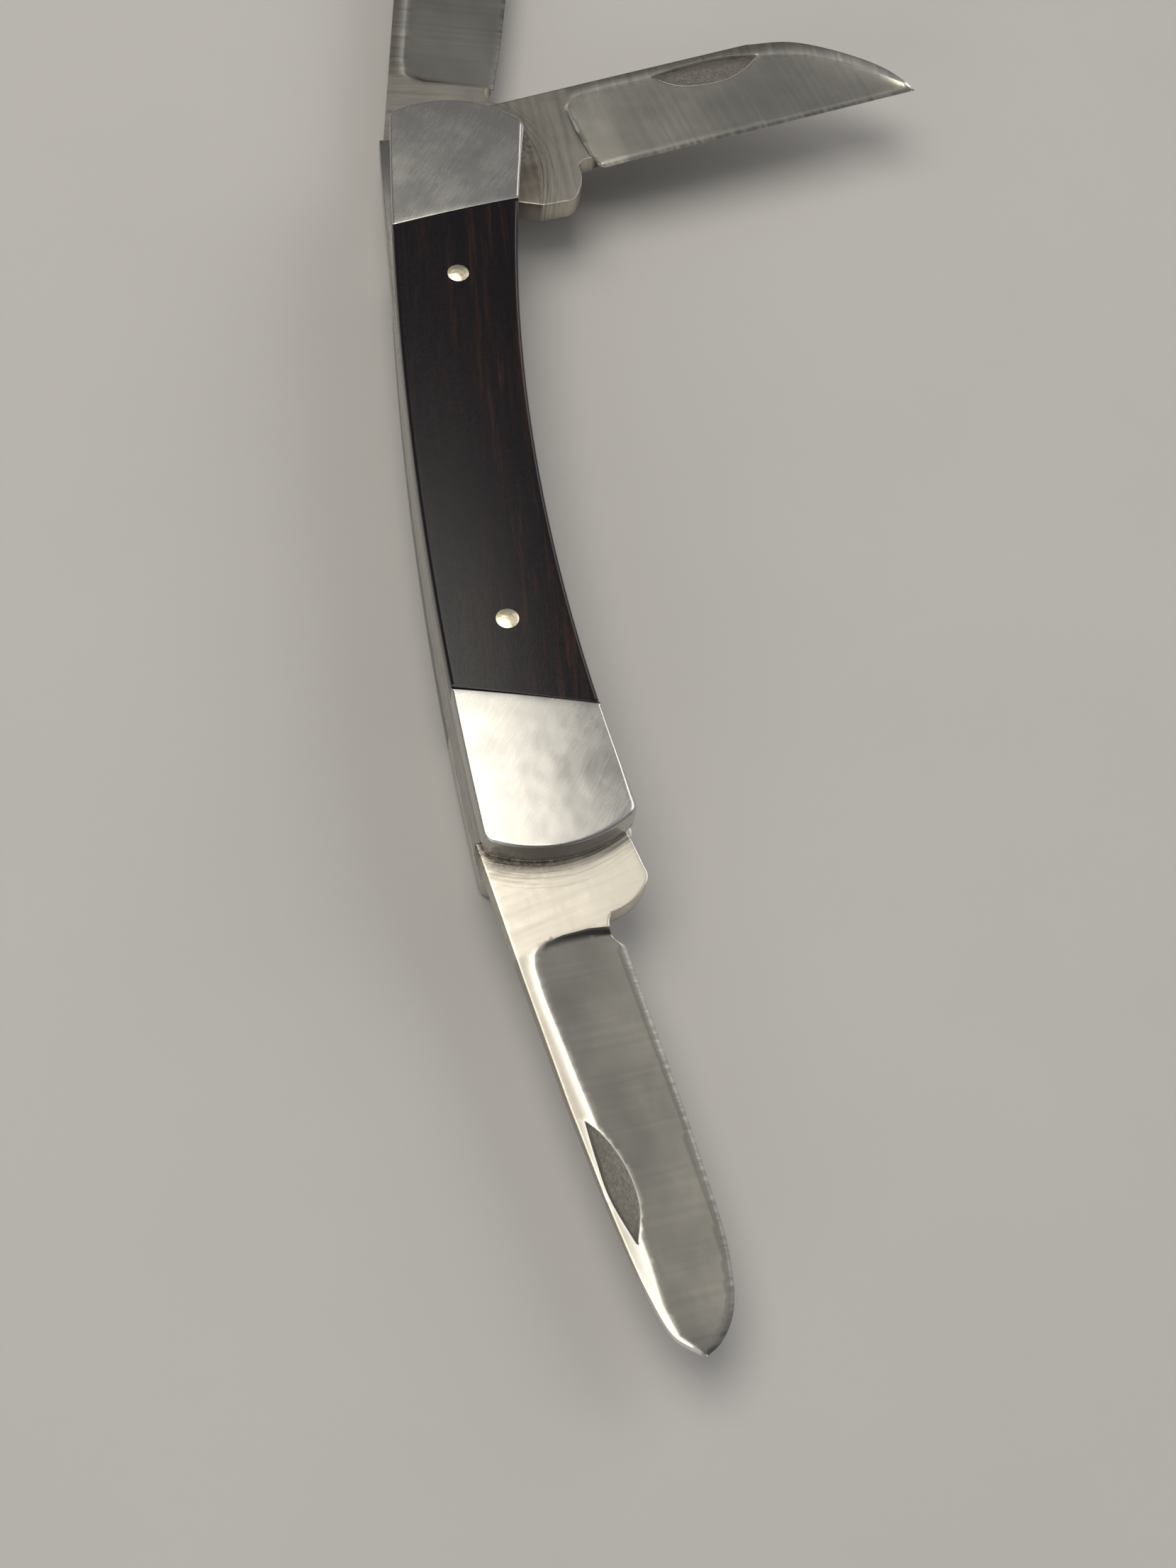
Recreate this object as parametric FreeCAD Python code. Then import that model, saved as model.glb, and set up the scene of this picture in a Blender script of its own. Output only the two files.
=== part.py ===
"""Three-blade whittling knife: a slip-joint pocket knife with two springs.

Millimetres. The handle lies flat: +X runs to the end with the main blade, +Y to the back,
where the springs are, and +Z through the thickness. The origin is on the lower face, at mid
length, on the line that the back and belly curves are measured from.
"""
import FreeCAD, Part
import math
import os

Vec = FreeCAD.Vector

# ---- Handle outline ----
HANDLE_LENGTH = 99.8
BACK_CROWN_Y = 9.3        # back at mid length
BACK_CORNER_Y = 7.0       # back where it meets the end
BELLY_CROWN_Y = -3.9      # belly at mid length
BELLY_CORNER_Y = -8.6     # belly where it meets the end
BACK_CORNER_SETBACK = 1.5     # back corner, in from the extreme end
BELLY_CORNER_SETBACK = 3.6    # belly corner, in from the extreme end
END_CREST_Y = 1.4         # height at which the end reaches furthest
CORNER_ROUND = 1.5

# ---- Layers through the thickness, from the lower face up ----
COVER_THICKNESS = 2.7     # wood scales and bolsters
LINER_THICKNESS = 0.6
CENTRE_LINER_THICKNESS = 0.5
SPRING_THICKNESS = 2.8    # each spring layer
SIDE_CLEARANCE = 0.05     # blade tang to liner

# ---- Bolsters and scales ----
SEAM_FROM_END_BACK = 19.2     # bolster length at the back
SEAM_FROM_END_BELLY = 15.4    # bolster length at the belly
BOLSTER_BEVEL = 0.45
SCALE_ROUND = 0.7
SCALE_PIN_DIAMETER = 2.4
SCALE_PIN_FROM_SEAM = 9.1
SCALE_PIN_Y = 1.75
SCALE_PIN_CROWN = 0.15    # height of the domed head over the upper scale

# ---- Pivots, springs and rivet ----
PIVOT_FROM_END = 9.3
PIVOT_Y = -1.0
PIVOT_PIN_DIAMETER = 3.0
PIVOT_CLEARANCE = 0.04    # radial
TANG_RADIUS = 5.2
SPRING_TANG_GAP = 0.1     # tang circle to the spring's bearing pad
SPRING_END_SETBACK = 3.0  # spring's square end, in from the handle's end
SHOULDER_GAP = 0.25       # spring's end to the blade's shoulder
PAD_INNER_REACH = 4.1     # bearing pad, from the pivot towards mid handle
PAD_RAMP = 2.0
RIVET_PAD_DEPTH = 3.9     # spring's depth at the rivet
RIVET_PAD_HALF = 7.0
RIVET_PAD_RAMP = 7.0
RIVET_DIAMETER = 1.8
UPPER_ARM_DEPTH = 2.45    # spring's depth between the rivet and the pads
LOWER_ARM_DEPTH = 3.2
SPRING_LIFT = 1.2         # how far the half-open blade lifts the upper spring's end
LIFTED_GAP = 0.2          # half-open blade's square corner to the lifted spring
TAIL_RADIUS = 5.6         # lower spring's tail, round the pivot at the spey end

# ---- Blades: x from the pivot to the tip, y towards the spine ----
SPINE_Y = 9.8
STOCK_SHOULDER_X = 9.6    # the tang's full thickness ends here
STOCK_START_X = 20.0      # the blade's own thickness starts here
PLUNGE_X = 17.4           # grinds of the main and spey blades start here
TIP_THICKNESS = 0.8
OVERLAP_GAP = 0.16        # between the two blades that share the upper layer
EDGE_THICKNESS = 0.25
HOLLOW_RADIUS = 140.0
SPINE_FLAT = 1.9          # flat left along the spine
NICK_LENGTH = 13.5
NICK_WIDTH = 1.4
NICK_DEPTH = 0.35

# Angles of the blade's x axis; the spey blade's closed one is worked out from its tip's rise.
MAIN_OPEN, MAIN_REST, MAIN_CLOSED = -8.0, -8.0, -181.5
SHEEPSFOOT_OPEN, SHEEPSFOOT_REST, SHEEPSFOOT_CLOSED = -8.0, -75.5, -179.0
SPEY_OPEN, SPEY_REST = -11.0, -11.0

MAIN_EDGE_Y = -3.2
MAIN_BELLY_Y = -4.5
MAIN_TIP_Y = 3.0
MAIN_KICK_Y = -5.6
MAIN_TIP_GAP = 2.6        # closed tip to the lower spring's tail
MAIN_RELIEF = 0.2         # each face of the blade's start, in from its tang's layer
MAIN_TIP_THICKNESS = 1.2
SHEEPSFOOT_EDGE_Y = -2.8
SHEEPSFOOT_KICK_Y = -7.2
SHEEPSFOOT_PLUNGE_X = 15.2
SHEEPSFOOT_TIP_TO_PIVOT = 23.7    # closed tip to the far pivot
SPEY_EDGE_Y = -0.9
SPEY_KICK_Y = -5.6
SPEY_TIP_Y = 5.1
SPEY_TIP_TO_PIVOT = 21.6          # closed tip to the far pivot
SPEY_CLOSED_RISE = 5.71           # closed tip above its pivot, towards the spring

# ---- Places worked out from the sizes above ----
HALF = HANDLE_LENGTH / 2
PIVOT_X = HALF - PIVOT_FROM_END
PIVOT_SPAN = 2 * PIVOT_X
SPRING_END_X = HALF - SPRING_END_SETBACK
BACK_RADIUS = ((HALF - BACK_CORNER_SETBACK) ** 2 + (BACK_CROWN_Y - BACK_CORNER_Y) ** 2) / (
    2 * (BACK_CROWN_Y - BACK_CORNER_Y))
BOTTOM_LINER_Z = COVER_THICKNESS
LOWER_LAYER_Z = BOTTOM_LINER_Z + LINER_THICKNESS
CENTRE_LINER_Z = LOWER_LAYER_Z + SPRING_THICKNESS
UPPER_LAYER_Z = CENTRE_LINER_Z + CENTRE_LINER_THICKNESS
TOP_LINER_Z = UPPER_LAYER_Z + SPRING_THICKNESS
TOP_COVER_Z = TOP_LINER_Z + LINER_THICKNESS
TOP_Z = TOP_COVER_Z + COVER_THICKNESS
RIVET_Y = BACK_CROWN_Y - RIVET_PAD_DEPTH / 2
PAD_Y = PIVOT_Y + TANG_RADIUS + SPRING_TANG_GAP
MAIN_LENGTH = PIVOT_SPAN - TAIL_RADIUS - MAIN_TIP_GAP
SHEEPSFOOT_LENGTH = PIVOT_SPAN - SHEEPSFOOT_TIP_TO_PIVOT
SPEY_LENGTH = PIVOT_SPAN - SPEY_TIP_TO_PIVOT
SPEY_CLOSED = -180 - math.degrees(math.asin(SPEY_CLOSED_RISE / SPEY_LENGTH))
MAIN_STOCK = SPRING_THICKNESS - 2 * MAIN_RELIEF     # thickness at the start of the blade


# ---- Helpers ----
def line(a, b):
    return Part.LineSegment(Vec(*a), Vec(*b)).toShape()


def arc(a, mid, b):
    return Part.Arc(Vec(*a), Vec(*mid), Vec(*b)).toShape()


def curve(points):
    spline = Part.BSplineCurve()
    spline.interpolate([Vec(*p) for p in points])
    return spline.toShape()


def flat(point, z=0.0):
    return (point[0], point[1], z)


def outline_edges(start, steps):
    """Edges from start through steps: a point, ("arc", mid, end) or ("curve", points)."""
    edges = []
    here = flat(start)
    for step in steps:
        if step[0] == "arc":
            edges.append(arc(here, flat(step[1]), flat(step[2])))
            here = flat(step[2])
        elif step[0] == "curve":
            edges.append(curve([here] + [flat(p) for p in step[1]]))
            here = flat(step[1][-1])
        else:
            edges.append(line(here, flat(step)))
            here = flat(step)
    return edges


def prism(start, steps, z0, z1):
    face = Part.Face(Part.Wire(outline_edges(start, steps)))
    face.translate(Vec(0, 0, z0))
    return face.extrude(Vec(0, 0, z1 - z0))


def cylinder_z(x, y, radius, z0, z1):
    return Part.makeCylinder(radius, z1 - z0, Vec(x, y, z0))


def mirrored(shape):
    return shape.mirror(Vec(0, 0, 0), Vec(1, 0, 0))


def back_y(x, lift=0.0):
    """The back's curve; lift raises its end, with mid handle held."""
    drop = BACK_RADIUS - math.sqrt(BACK_RADIUS ** 2 - x ** 2)
    return BACK_CROWN_Y - drop + lift * (x / SPRING_END_X) ** 2


# ---- Handle layers ----
def handle_prism(z0, z1):
    """The handle's whole outline, with rounded corners, between two heights."""
    back = (HALF - BACK_CORNER_SETBACK, BACK_CORNER_Y)
    belly = (HALF - BELLY_CORNER_SETBACK, BELLY_CORNER_Y)
    crest = (HALF, END_CREST_Y)
    solid = prism((-back[0], back[1]), [
        ("arc", (0, BACK_CROWN_Y), back),
        ("arc", crest, belly),
        ("arc", (0, BELLY_CROWN_Y), (-belly[0], belly[1])),
        ("arc", (-crest[0], crest[1]), (-back[0], back[1]))], z0, z1)
    corners = [e for e in solid.Edges if abs(e.BoundBox.ZLength - (z1 - z0)) < 1e-6]
    return solid.makeFillet(CORNER_ROUND, corners)


def seam_x(y):
    """Where the bolster meets the scale at the main end."""
    along = (BACK_CROWN_Y - y) / (BACK_CROWN_Y - BELLY_CORNER_Y)
    length = SEAM_FROM_END_BACK + along * (SEAM_FROM_END_BELLY - SEAM_FROM_END_BACK)
    return HALF - length


def between_seams(z0, z1):
    high, low = BACK_CROWN_Y + 1, BELLY_CORNER_Y - 1
    return prism((-seam_x(high), high), [
        (seam_x(high), high), (seam_x(low), low), (-seam_x(low), low), (-seam_x(high), high)], z0, z1)


def pin_holes(z0, z1):
    """Both pivot pins' own holes, exactly to size."""
    return [cylinder_z(side * PIVOT_X, PIVOT_Y, PIVOT_PIN_DIAMETER / 2, z0, z1) for side in (-1, 1)]


def scale_pin_x():
    return seam_x(SCALE_PIN_Y) - SCALE_PIN_FROM_SEAM


def liner(z0, thickness, scale_pins):
    z1 = z0 + thickness
    holes = pin_holes(z0, z1) + [cylinder_z(0, RIVET_Y, RIVET_DIAMETER / 2, z0, z1)]
    if scale_pins:
        holes += [cylinder_z(side * scale_pin_x(), SCALE_PIN_Y, SCALE_PIN_DIAMETER / 2, z0, z1)
                  for side in (-1, 1)]
    return handle_prism(z0, z1).cut(holes)


def face_edges(solid, z):
    """The edges that lie flat at one height."""
    return [e for e in solid.Edges if e.BoundBox.ZLength < 1e-6 and abs(e.BoundBox.ZMin - z) < 1e-6]


def scale(z0, outer_z):
    """One wood scale, rounded along the handle's back and belly, with its two pin holes."""
    z1 = z0 + COVER_THICKNESS
    solid = handle_prism(z0, z1).common(between_seams(z0, z1))
    long_edges = [e for e in face_edges(solid, outer_z) if e.BoundBox.XLength > HALF]
    solid = solid.makeFillet(SCALE_ROUND, long_edges)
    return solid.cut([cylinder_z(side * scale_pin_x(), SCALE_PIN_Y, SCALE_PIN_DIAMETER / 2, z0, z1)
                      for side in (-1, 1)])


def main_end_bolster(z0, outer_z):
    """A bolster at the main end, its outer rim bevelled but for the seam with the scale."""
    z1 = z0 + COVER_THICKNESS
    half_space = Part.makeBox(HALF, HANDLE_LENGTH, COVER_THICKNESS, Vec(0, -HALF, z0))
    solid = handle_prism(z0, z1).common(half_space).cut(between_seams(z0, z1))
    seam_middle = seam_x((BACK_CROWN_Y + BELLY_CORNER_Y) / 2)
    rim = [e for e in face_edges(solid, outer_z) if e.CenterOfMass.x > seam_middle + 1]
    solid = solid.makeChamfer(BOLSTER_BEVEL, rim)
    return solid.cut(cylinder_z(PIVOT_X, PIVOT_Y, PIVOT_PIN_DIAMETER / 2, z0, z1))


def scale_pin(side, z0, outer_z):
    """A pin through one scale and its liner, flush below and slightly domed above."""
    x = side * scale_pin_x()
    radius = SCALE_PIN_DIAMETER / 2
    if outer_z == 0.0:
        return cylinder_z(x, SCALE_PIN_Y, radius, 0.0, z0)
    shank = cylinder_z(x, SCALE_PIN_Y, radius, z0, outer_z)
    ball_radius = (radius ** 2 + SCALE_PIN_CROWN ** 2) / (2 * SCALE_PIN_CROWN)
    ball = Part.makeSphere(ball_radius, Vec(x, SCALE_PIN_Y, outer_z + SCALE_PIN_CROWN - ball_radius))
    dome = ball.common(cylinder_z(x, SCALE_PIN_Y, radius, outer_z, outer_z + 2 * SCALE_PIN_CROWN))
    return shank.fuse(dome).removeSplitter()


# ---- Springs ----
def inner_points(arm_depth, lift, side):
    """The spring's inner edge from its end to the rivet's pad, on one side of mid handle."""
    pad_end = PIVOT_X - PAD_INNER_REACH
    arm_end = pad_end - PAD_RAMP
    arm_start = RIVET_PAD_HALF + RIVET_PAD_RAMP
    pad_end_y = PAD_Y + lift * (pad_end / SPRING_END_X) ** 2
    heights = [
        (SPRING_END_X, PAD_Y + lift),
        (pad_end, pad_end_y),
        (arm_end, max(back_y(arm_end, lift) - arm_depth, pad_end_y)),
        (arm_start, back_y(arm_start, lift) - arm_depth),
        (RIVET_PAD_HALF, back_y(RIVET_PAD_HALF, lift) - RIVET_PAD_DEPTH)]
    return [(side * x, y) for x, y in heights]


def spring_half(arm_depth, lift, side, z0):
    """From mid handle to one end, along the back outside and the stepped edge inside."""
    end = (side * SPRING_END_X, back_y(SPRING_END_X, lift))
    mid_x = SPRING_END_X / 2
    steps = [("arc", (side * mid_x, back_y(mid_x, lift)), end)]
    steps += inner_points(arm_depth, lift, side)
    steps += [(0, BACK_CROWN_Y - RIVET_PAD_DEPTH), (0, BACK_CROWN_Y)]
    return prism((0, BACK_CROWN_Y), steps, z0, z0 + SPRING_THICKNESS)


def upper_spring():
    """One spring for the sheepsfoot, whose end it holds lifted, and the spey blade."""
    z0 = UPPER_LAYER_Z
    solid = spring_half(UPPER_ARM_DEPTH, SPRING_LIFT, 1, z0).fuse(spring_half(UPPER_ARM_DEPTH, 0, -1, z0))
    rivet = cylinder_z(0, RIVET_Y, RIVET_DIAMETER / 2, z0, z0 + SPRING_THICKNESS)
    return solid.removeSplitter().cut(rivet)


def spring_tail(z0):
    """The lower spring's tail: it fills the spey end, where this layer has no blade."""
    z1 = z0 + SPRING_THICKNESS
    block = Part.makeBox(HALF, HANDLE_LENGTH, SPRING_THICKNESS, Vec(-HALF - PIVOT_X, -HALF, z0))
    boss = cylinder_z(-PIVOT_X, PIVOT_Y, TAIL_RADIUS, z0, z1)
    neck = Part.makeBox(2 * TAIL_RADIUS, BACK_CROWN_Y, SPRING_THICKNESS,
                        Vec(-PIVOT_X - TAIL_RADIUS, PIVOT_Y, z0))
    return handle_prism(z0, z1).common(block.fuse([boss, neck]))


def lower_spring():
    """The main blade's spring, held by the rivet and by the pivot pin of the spey end."""
    z0 = LOWER_LAYER_Z
    z1 = z0 + SPRING_THICKNESS
    halves = [spring_half(LOWER_ARM_DEPTH, 0, side, z0) for side in (-1, 1)]
    solid = halves[0].fuse([halves[1], spring_tail(z0)]).removeSplitter()
    return solid.cut([cylinder_z(0, RIVET_Y, RIVET_DIAMETER / 2, z0, z1),
                      cylinder_z(-PIVOT_X, PIVOT_Y, PIVOT_PIN_DIAMETER / 2, z0, z1)])


# ---- Blades ----
def up_in_blade(angle):
    """The handle's +Y as the blade sees it when its x axis points at angle."""
    a = math.radians(angle)
    return (math.sin(a), math.cos(a))


def tang_top(open_angle):
    """The flat under the spring when open, and the shoulder that rises past the spring's end."""
    up = up_in_blade(open_angle)
    along = (up[1], -up[0])
    start = (up[0] * TANG_RADIUS, up[1] * TANG_RADIUS)
    reach = SPRING_END_X + SHOULDER_GAP - PIVOT_X
    corner = (start[0] + along[0] * reach, start[1] + along[1] * reach)
    rise = (SPINE_Y - corner[1]) / up[1]
    return start, corner, (corner[0] + up[0] * rise, SPINE_Y)


def tang_foot(closed_angle):
    """The flat under the spring when closed, up to the inner end of the bearing pad."""
    up = up_in_blade(closed_angle)
    towards = (-up[1], up[0])
    start = (up[0] * TANG_RADIUS, up[1] * TANG_RADIUS)
    return start, (start[0] + towards[0] * PAD_INNER_REACH, start[1] + towards[1] * PAD_INNER_REACH)


def kick_steps(plunge_x, kick_y, edge_y):
    """From the heel of the edge round the notch and the kick, towards the tang."""
    notch_x, kick_x = plunge_x - 0.7, plunge_x - 5.4
    waist_y = (kick_y + edge_y) / 2
    return [
        (plunge_x + 0.8, edge_y + 0.6),
        ("arc", (notch_x, edge_y + 1.0), (notch_x - 1.0, edge_y + 0.4)),
        ("arc", (notch_x - 1.7, waist_y), (kick_x + 1.9, kick_y + 0.7)),
        ("arc", (kick_x + 1.2, kick_y + 0.1), (kick_x, kick_y)),
        (kick_x - 2.6, kick_y + 0.25)]


def blade_prism(open_angle, closed_angle, kick, point_steps, corner_radius):
    """The blade seen from its side, as thick as the spring layer."""
    top, corner, shoulder = tang_top(open_angle)
    foot, foot_end = tang_foot(closed_angle)
    steps = [corner, shoulder] + point_steps + kick + [foot_end, foot, top]
    body = prism(top, steps, 0, SPRING_THICKNESS)
    cam = cylinder_z(0, 0, corner_radius, 0, SPRING_THICKNESS)
    square = Part.makeBox(2 * TANG_RADIUS, 2 * TANG_RADIUS, SPRING_THICKNESS, Vec(-TANG_RADIUS, -TANG_RADIUS, 0))
    square.rotate(Vec(0, 0, 0), Vec(0, 0, 1), -open_angle)
    return body.fuse(cam.common(square)).removeSplitter()


def side_profile(length, low, high):
    """Thickness along the blade: low and high are pairs, at the blade's start and its tip."""
    past = length + 1
    back_x = -2 * TANG_RADIUS
    z0, z1 = SIDE_CLEARANCE, SPRING_THICKNESS - SIDE_CLEARANCE
    points = [
        (back_x, z0), (STOCK_SHOULDER_X, z0), (STOCK_START_X, low[0]), (past, low[1]),
        (past, high[1]), (STOCK_START_X, high[0]), (STOCK_SHOULDER_X, z1), (back_x, z1)]
    corners = [Vec(x, -HANDLE_LENGTH, z) for x, z in points]
    face = Part.Face(Part.makePolygon(corners + [corners[0]]))
    return face.extrude(Vec(0, 2 * HANDLE_LENGTH, 0))


def hollow(plunge_x, length, edge_y, faces, sign):
    """A roller that grinds one face hollow, from the spine's flat down to the edge."""
    grind_y = SPINE_Y - SPINE_FLAT
    centres = []
    for x, (low, high) in ((plunge_x, faces[0]), (length, faces[1])):
        middle = (low + high) / 2
        face_z = high if sign > 0 else low
        edge_z = middle + sign * EDGE_THICKNESS / 2
        chord = Vec(0, edge_y - grind_y, edge_z - face_z)
        away = Vec(0, chord.z, -chord.y) * (sign / chord.Length)
        drop = math.sqrt(HOLLOW_RADIUS ** 2 - (chord.Length / 2) ** 2)
        centres.append(Vec(x, (edge_y + grind_y) / 2, (edge_z + face_z) / 2) + away * drop)
    axis = centres[1] - centres[0]
    return Part.makeCylinder(HOLLOW_RADIUS, axis.Length * 1.2, centres[0], axis)


def nail_nick(x, face_z, sign):
    """A shallow crescent cut by a disc, along the blade under the spine."""
    radius = (NICK_LENGTH ** 2 / 4 + NICK_DEPTH ** 2) / (2 * NICK_DEPTH)
    centre = Vec(x, SPINE_Y - SPINE_FLAT - NICK_WIDTH / 2, face_z + sign * (radius - NICK_DEPTH))
    return Part.makeCylinder(radius, NICK_WIDTH, centre, Vec(0, 1, 0))


def thickness_at(x, ends, length):
    """A face's height at x, between the blade's start and its tip."""
    along = (x - STOCK_START_X) / (length - STOCK_START_X)
    return ends[0] + along * (ends[1] - ends[0])


def ground_blade(solid, plunge_x, length, edge_y, low, high, nick_sign):
    """Thin the stock, grind both faces hollow, and cut the nail nick."""
    solid = solid.common(side_profile(length, low, high))
    at = [(thickness_at(x, low, length), thickness_at(x, high, length)) for x in (plunge_x, length)]
    solid = solid.cut([hollow(plunge_x, length, edge_y, at, sign) for sign in (-1, 1)])
    nick_x = plunge_x + (length - plunge_x) * 0.55
    nick_face = thickness_at(nick_x, high if nick_sign > 0 else low, length)
    solid = solid.cut(nail_nick(nick_x, nick_face, nick_sign))
    return solid.cut(cylinder_z(0, 0, PIVOT_PIN_DIAMETER / 2 + PIVOT_CLEARANCE, 0, SPRING_THICKNESS))


def placed(solid, angle, side, z0):
    """Turn a blade to its angle and set it on its pivot; side -1 is the spey end."""
    solid.rotate(Vec(0, 0, 0), Vec(0, 0, 1), angle)
    if side < 0:
        solid = mirrored(solid)
    solid.translate(Vec(side * PIVOT_X, PIVOT_Y, z0))
    return solid


def upper_stock(length, far_tip_x):
    """An upper-layer blade's thickness at its start and at its tip, where the two lie side by side."""
    beside_tip = SPRING_THICKNESS - 2 * SIDE_CLEARANCE - OVERLAP_GAP - TIP_THICKNESS
    slope = (beside_tip - TIP_THICKNESS) / (length - far_tip_x)
    return TIP_THICKNESS + slope * (length - STOCK_START_X), TIP_THICKNESS


def main_blade():
    """Clip-point blade in the lower layer."""
    length = MAIN_LENGTH
    point = [
        (length * 0.62, SPINE_Y - 0.3),
        ("arc", (length * 0.82, SPINE_Y - 3.0), (length, MAIN_TIP_Y)),
        ("curve", [(length - 9, -1.4), (length - 20, -3.9), (length - 31, MAIN_BELLY_Y),
                   (PLUNGE_X + 10, MAIN_EDGE_Y - 0.7), (PLUNGE_X + 1.6, MAIN_EDGE_Y)])]
    kick = kick_steps(PLUNGE_X, MAIN_KICK_Y, MAIN_EDGE_Y)
    solid = blade_prism(MAIN_OPEN, MAIN_CLOSED, kick, point, TANG_RADIUS)
    middle = SPRING_THICKNESS / 2
    low = (middle - MAIN_STOCK / 2, middle - MAIN_TIP_THICKNESS / 2)
    high = (middle + MAIN_STOCK / 2, middle + MAIN_TIP_THICKNESS / 2)
    solid = ground_blade(solid, PLUNGE_X, length, MAIN_BELLY_Y, low, high, -1)
    return placed(solid, MAIN_REST, 1, LOWER_LAYER_Z)


def sheepsfoot_blade():
    """Straight-edged blade in the upper layer, its upper face flush with the tang."""
    length = SHEEPSFOOT_LENGTH
    edge_y = SHEEPSFOOT_EDGE_Y
    point = [
        (length - 17, SPINE_Y),
        ("curve", [(length - 11.5, SPINE_Y - 1.2), (length - 6.0, SPINE_Y - 4.8), (length - 2.0, edge_y + 3.6),
                   (length, edge_y - 0.4)]),
        (SHEEPSFOOT_PLUNGE_X + 1.6, edge_y)]
    lifted_pad = TANG_RADIUS + SPRING_TANG_GAP + SPRING_LIFT * (PIVOT_X / SPRING_END_X) ** 2
    kick = kick_steps(SHEEPSFOOT_PLUNGE_X, SHEEPSFOOT_KICK_Y, edge_y)
    solid = blade_prism(SHEEPSFOOT_OPEN, SHEEPSFOOT_CLOSED, kick, point, lifted_pad - LIFTED_GAP)
    start, tip = upper_stock(length, SPEY_TIP_TO_PIVOT)
    top = SPRING_THICKNESS - SIDE_CLEARANCE
    solid = ground_blade(solid, SHEEPSFOOT_PLUNGE_X, length, edge_y, (top - start, top - tip), (top, top), 1)
    return placed(solid, SHEEPSFOOT_REST, 1, UPPER_LAYER_Z)


def spey_blade():
    """Blunt-pointed blade in the upper layer, its lower face flush with the tang."""
    length = SPEY_LENGTH
    edge_y = SPEY_EDGE_Y
    heel_y = edge_y - 0.4
    point = [
        (length - 26, SPINE_Y - 0.3),
        ("curve", [(length - 14, SPINE_Y - 0.8), (length - 6.6, SPINE_Y - 1.5), (length - 2.4, SPINE_Y - 2.5),
                   (length, SPEY_TIP_Y)]),
        ("curve", [(length - 0.9, SPEY_TIP_Y - 1.8), (length - 3.2, edge_y + 2.2), (length - 8.2, edge_y + 0.7),
                   (length - 18, edge_y), (PLUNGE_X + 1.6, heel_y)])]
    solid = blade_prism(SPEY_OPEN, SPEY_CLOSED, kick_steps(PLUNGE_X, SPEY_KICK_Y, heel_y), point, TANG_RADIUS)
    start, tip = upper_stock(length, SHEEPSFOOT_TIP_TO_PIVOT)
    base = SIDE_CLEARANCE
    solid = ground_blade(solid, PLUNGE_X, length, edge_y, (base, base), (base + start, base + tip), 1)
    return placed(solid, SPEY_REST, -1, UPPER_LAYER_Z)


# ---- Pins ----
def pivot_pin(side):
    return cylinder_z(side * PIVOT_X, PIVOT_Y, PIVOT_PIN_DIAMETER / 2, 0.0, TOP_Z)


def spring_rivet():
    """Through all three liners and both springs, its ends under the scales."""
    return cylinder_z(0, RIVET_Y, RIVET_DIAMETER / 2, BOTTOM_LINER_Z, TOP_COVER_Z)


def all_parts():
    parts = {
        "back_liner": liner(BOTTOM_LINER_Z, LINER_THICKNESS, True),
        "centre_liner": liner(CENTRE_LINER_Z, CENTRE_LINER_THICKNESS, False),
        "front_liner": liner(TOP_LINER_Z, LINER_THICKNESS, True),
        "lower_spring": lower_spring(),
        "upper_spring": upper_spring(),
        "main_blade": main_blade(),
        "sheepsfoot_blade": sheepsfoot_blade(),
        "spey_blade": spey_blade(),
        "main_pivot_pin": pivot_pin(1),
        "spey_pivot_pin": pivot_pin(-1),
        "spring_rivet": spring_rivet(),
    }
    faces = (("back", 0.0, 0.0, LOWER_LAYER_Z), ("front", TOP_COVER_Z, TOP_Z, TOP_LINER_Z))
    for name, z0, outer_z, pin_z in faces:
        bolster = main_end_bolster(z0, outer_z)
        parts[name + "_scale"] = scale(z0, outer_z)
        parts[name + "_main_bolster"] = bolster
        parts[name + "_spey_bolster"] = mirrored(bolster)
        for end, side in (("main", 1), ("spey", -1)):
            parts["%s_scale_pin_%s" % (name, end)] = scale_pin(side, pin_z, outer_z)
    return parts


def main():
    os.makedirs("parts", exist_ok=True)
    for name, shape in all_parts().items():
        shape.exportStep("parts/%s.step" % name)


main()
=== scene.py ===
"""Three-blade whittling knife: the finished pieces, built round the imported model.

Metres in the scene; the shapes are worked out in millimetres and scaled once, when a mesh is made.
"""

import math

import bmesh
import bpy
import numpy as np
from bpy.props import FloatProperty, FloatVectorProperty, IntProperty, PointerProperty
from mathutils import Matrix, Vector
from mathutils.geometry import delaunay_2d_cdt


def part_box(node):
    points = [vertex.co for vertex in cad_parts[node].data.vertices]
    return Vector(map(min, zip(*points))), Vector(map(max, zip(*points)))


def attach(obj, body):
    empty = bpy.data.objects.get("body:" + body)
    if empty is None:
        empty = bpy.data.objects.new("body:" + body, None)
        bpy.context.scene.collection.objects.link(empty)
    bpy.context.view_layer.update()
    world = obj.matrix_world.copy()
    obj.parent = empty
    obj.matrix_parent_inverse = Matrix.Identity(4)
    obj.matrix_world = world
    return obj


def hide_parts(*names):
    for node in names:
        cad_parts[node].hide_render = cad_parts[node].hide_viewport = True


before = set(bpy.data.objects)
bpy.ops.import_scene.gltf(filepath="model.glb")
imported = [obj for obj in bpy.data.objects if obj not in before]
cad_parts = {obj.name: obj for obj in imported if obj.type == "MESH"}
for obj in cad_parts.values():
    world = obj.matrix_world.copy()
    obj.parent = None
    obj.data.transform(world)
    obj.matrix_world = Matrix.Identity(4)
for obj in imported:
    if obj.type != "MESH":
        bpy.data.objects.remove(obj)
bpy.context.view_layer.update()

bl_info = {
    "name": "Whittling Knife",
    "version": (1, 0, 0),
    "blender": (4, 5, 0),
    "location": "3D View > Sidebar > Knife",
    "description": "Builds the visible pieces of a three-blade whittling knife",
    "category": "Object",
}

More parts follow.
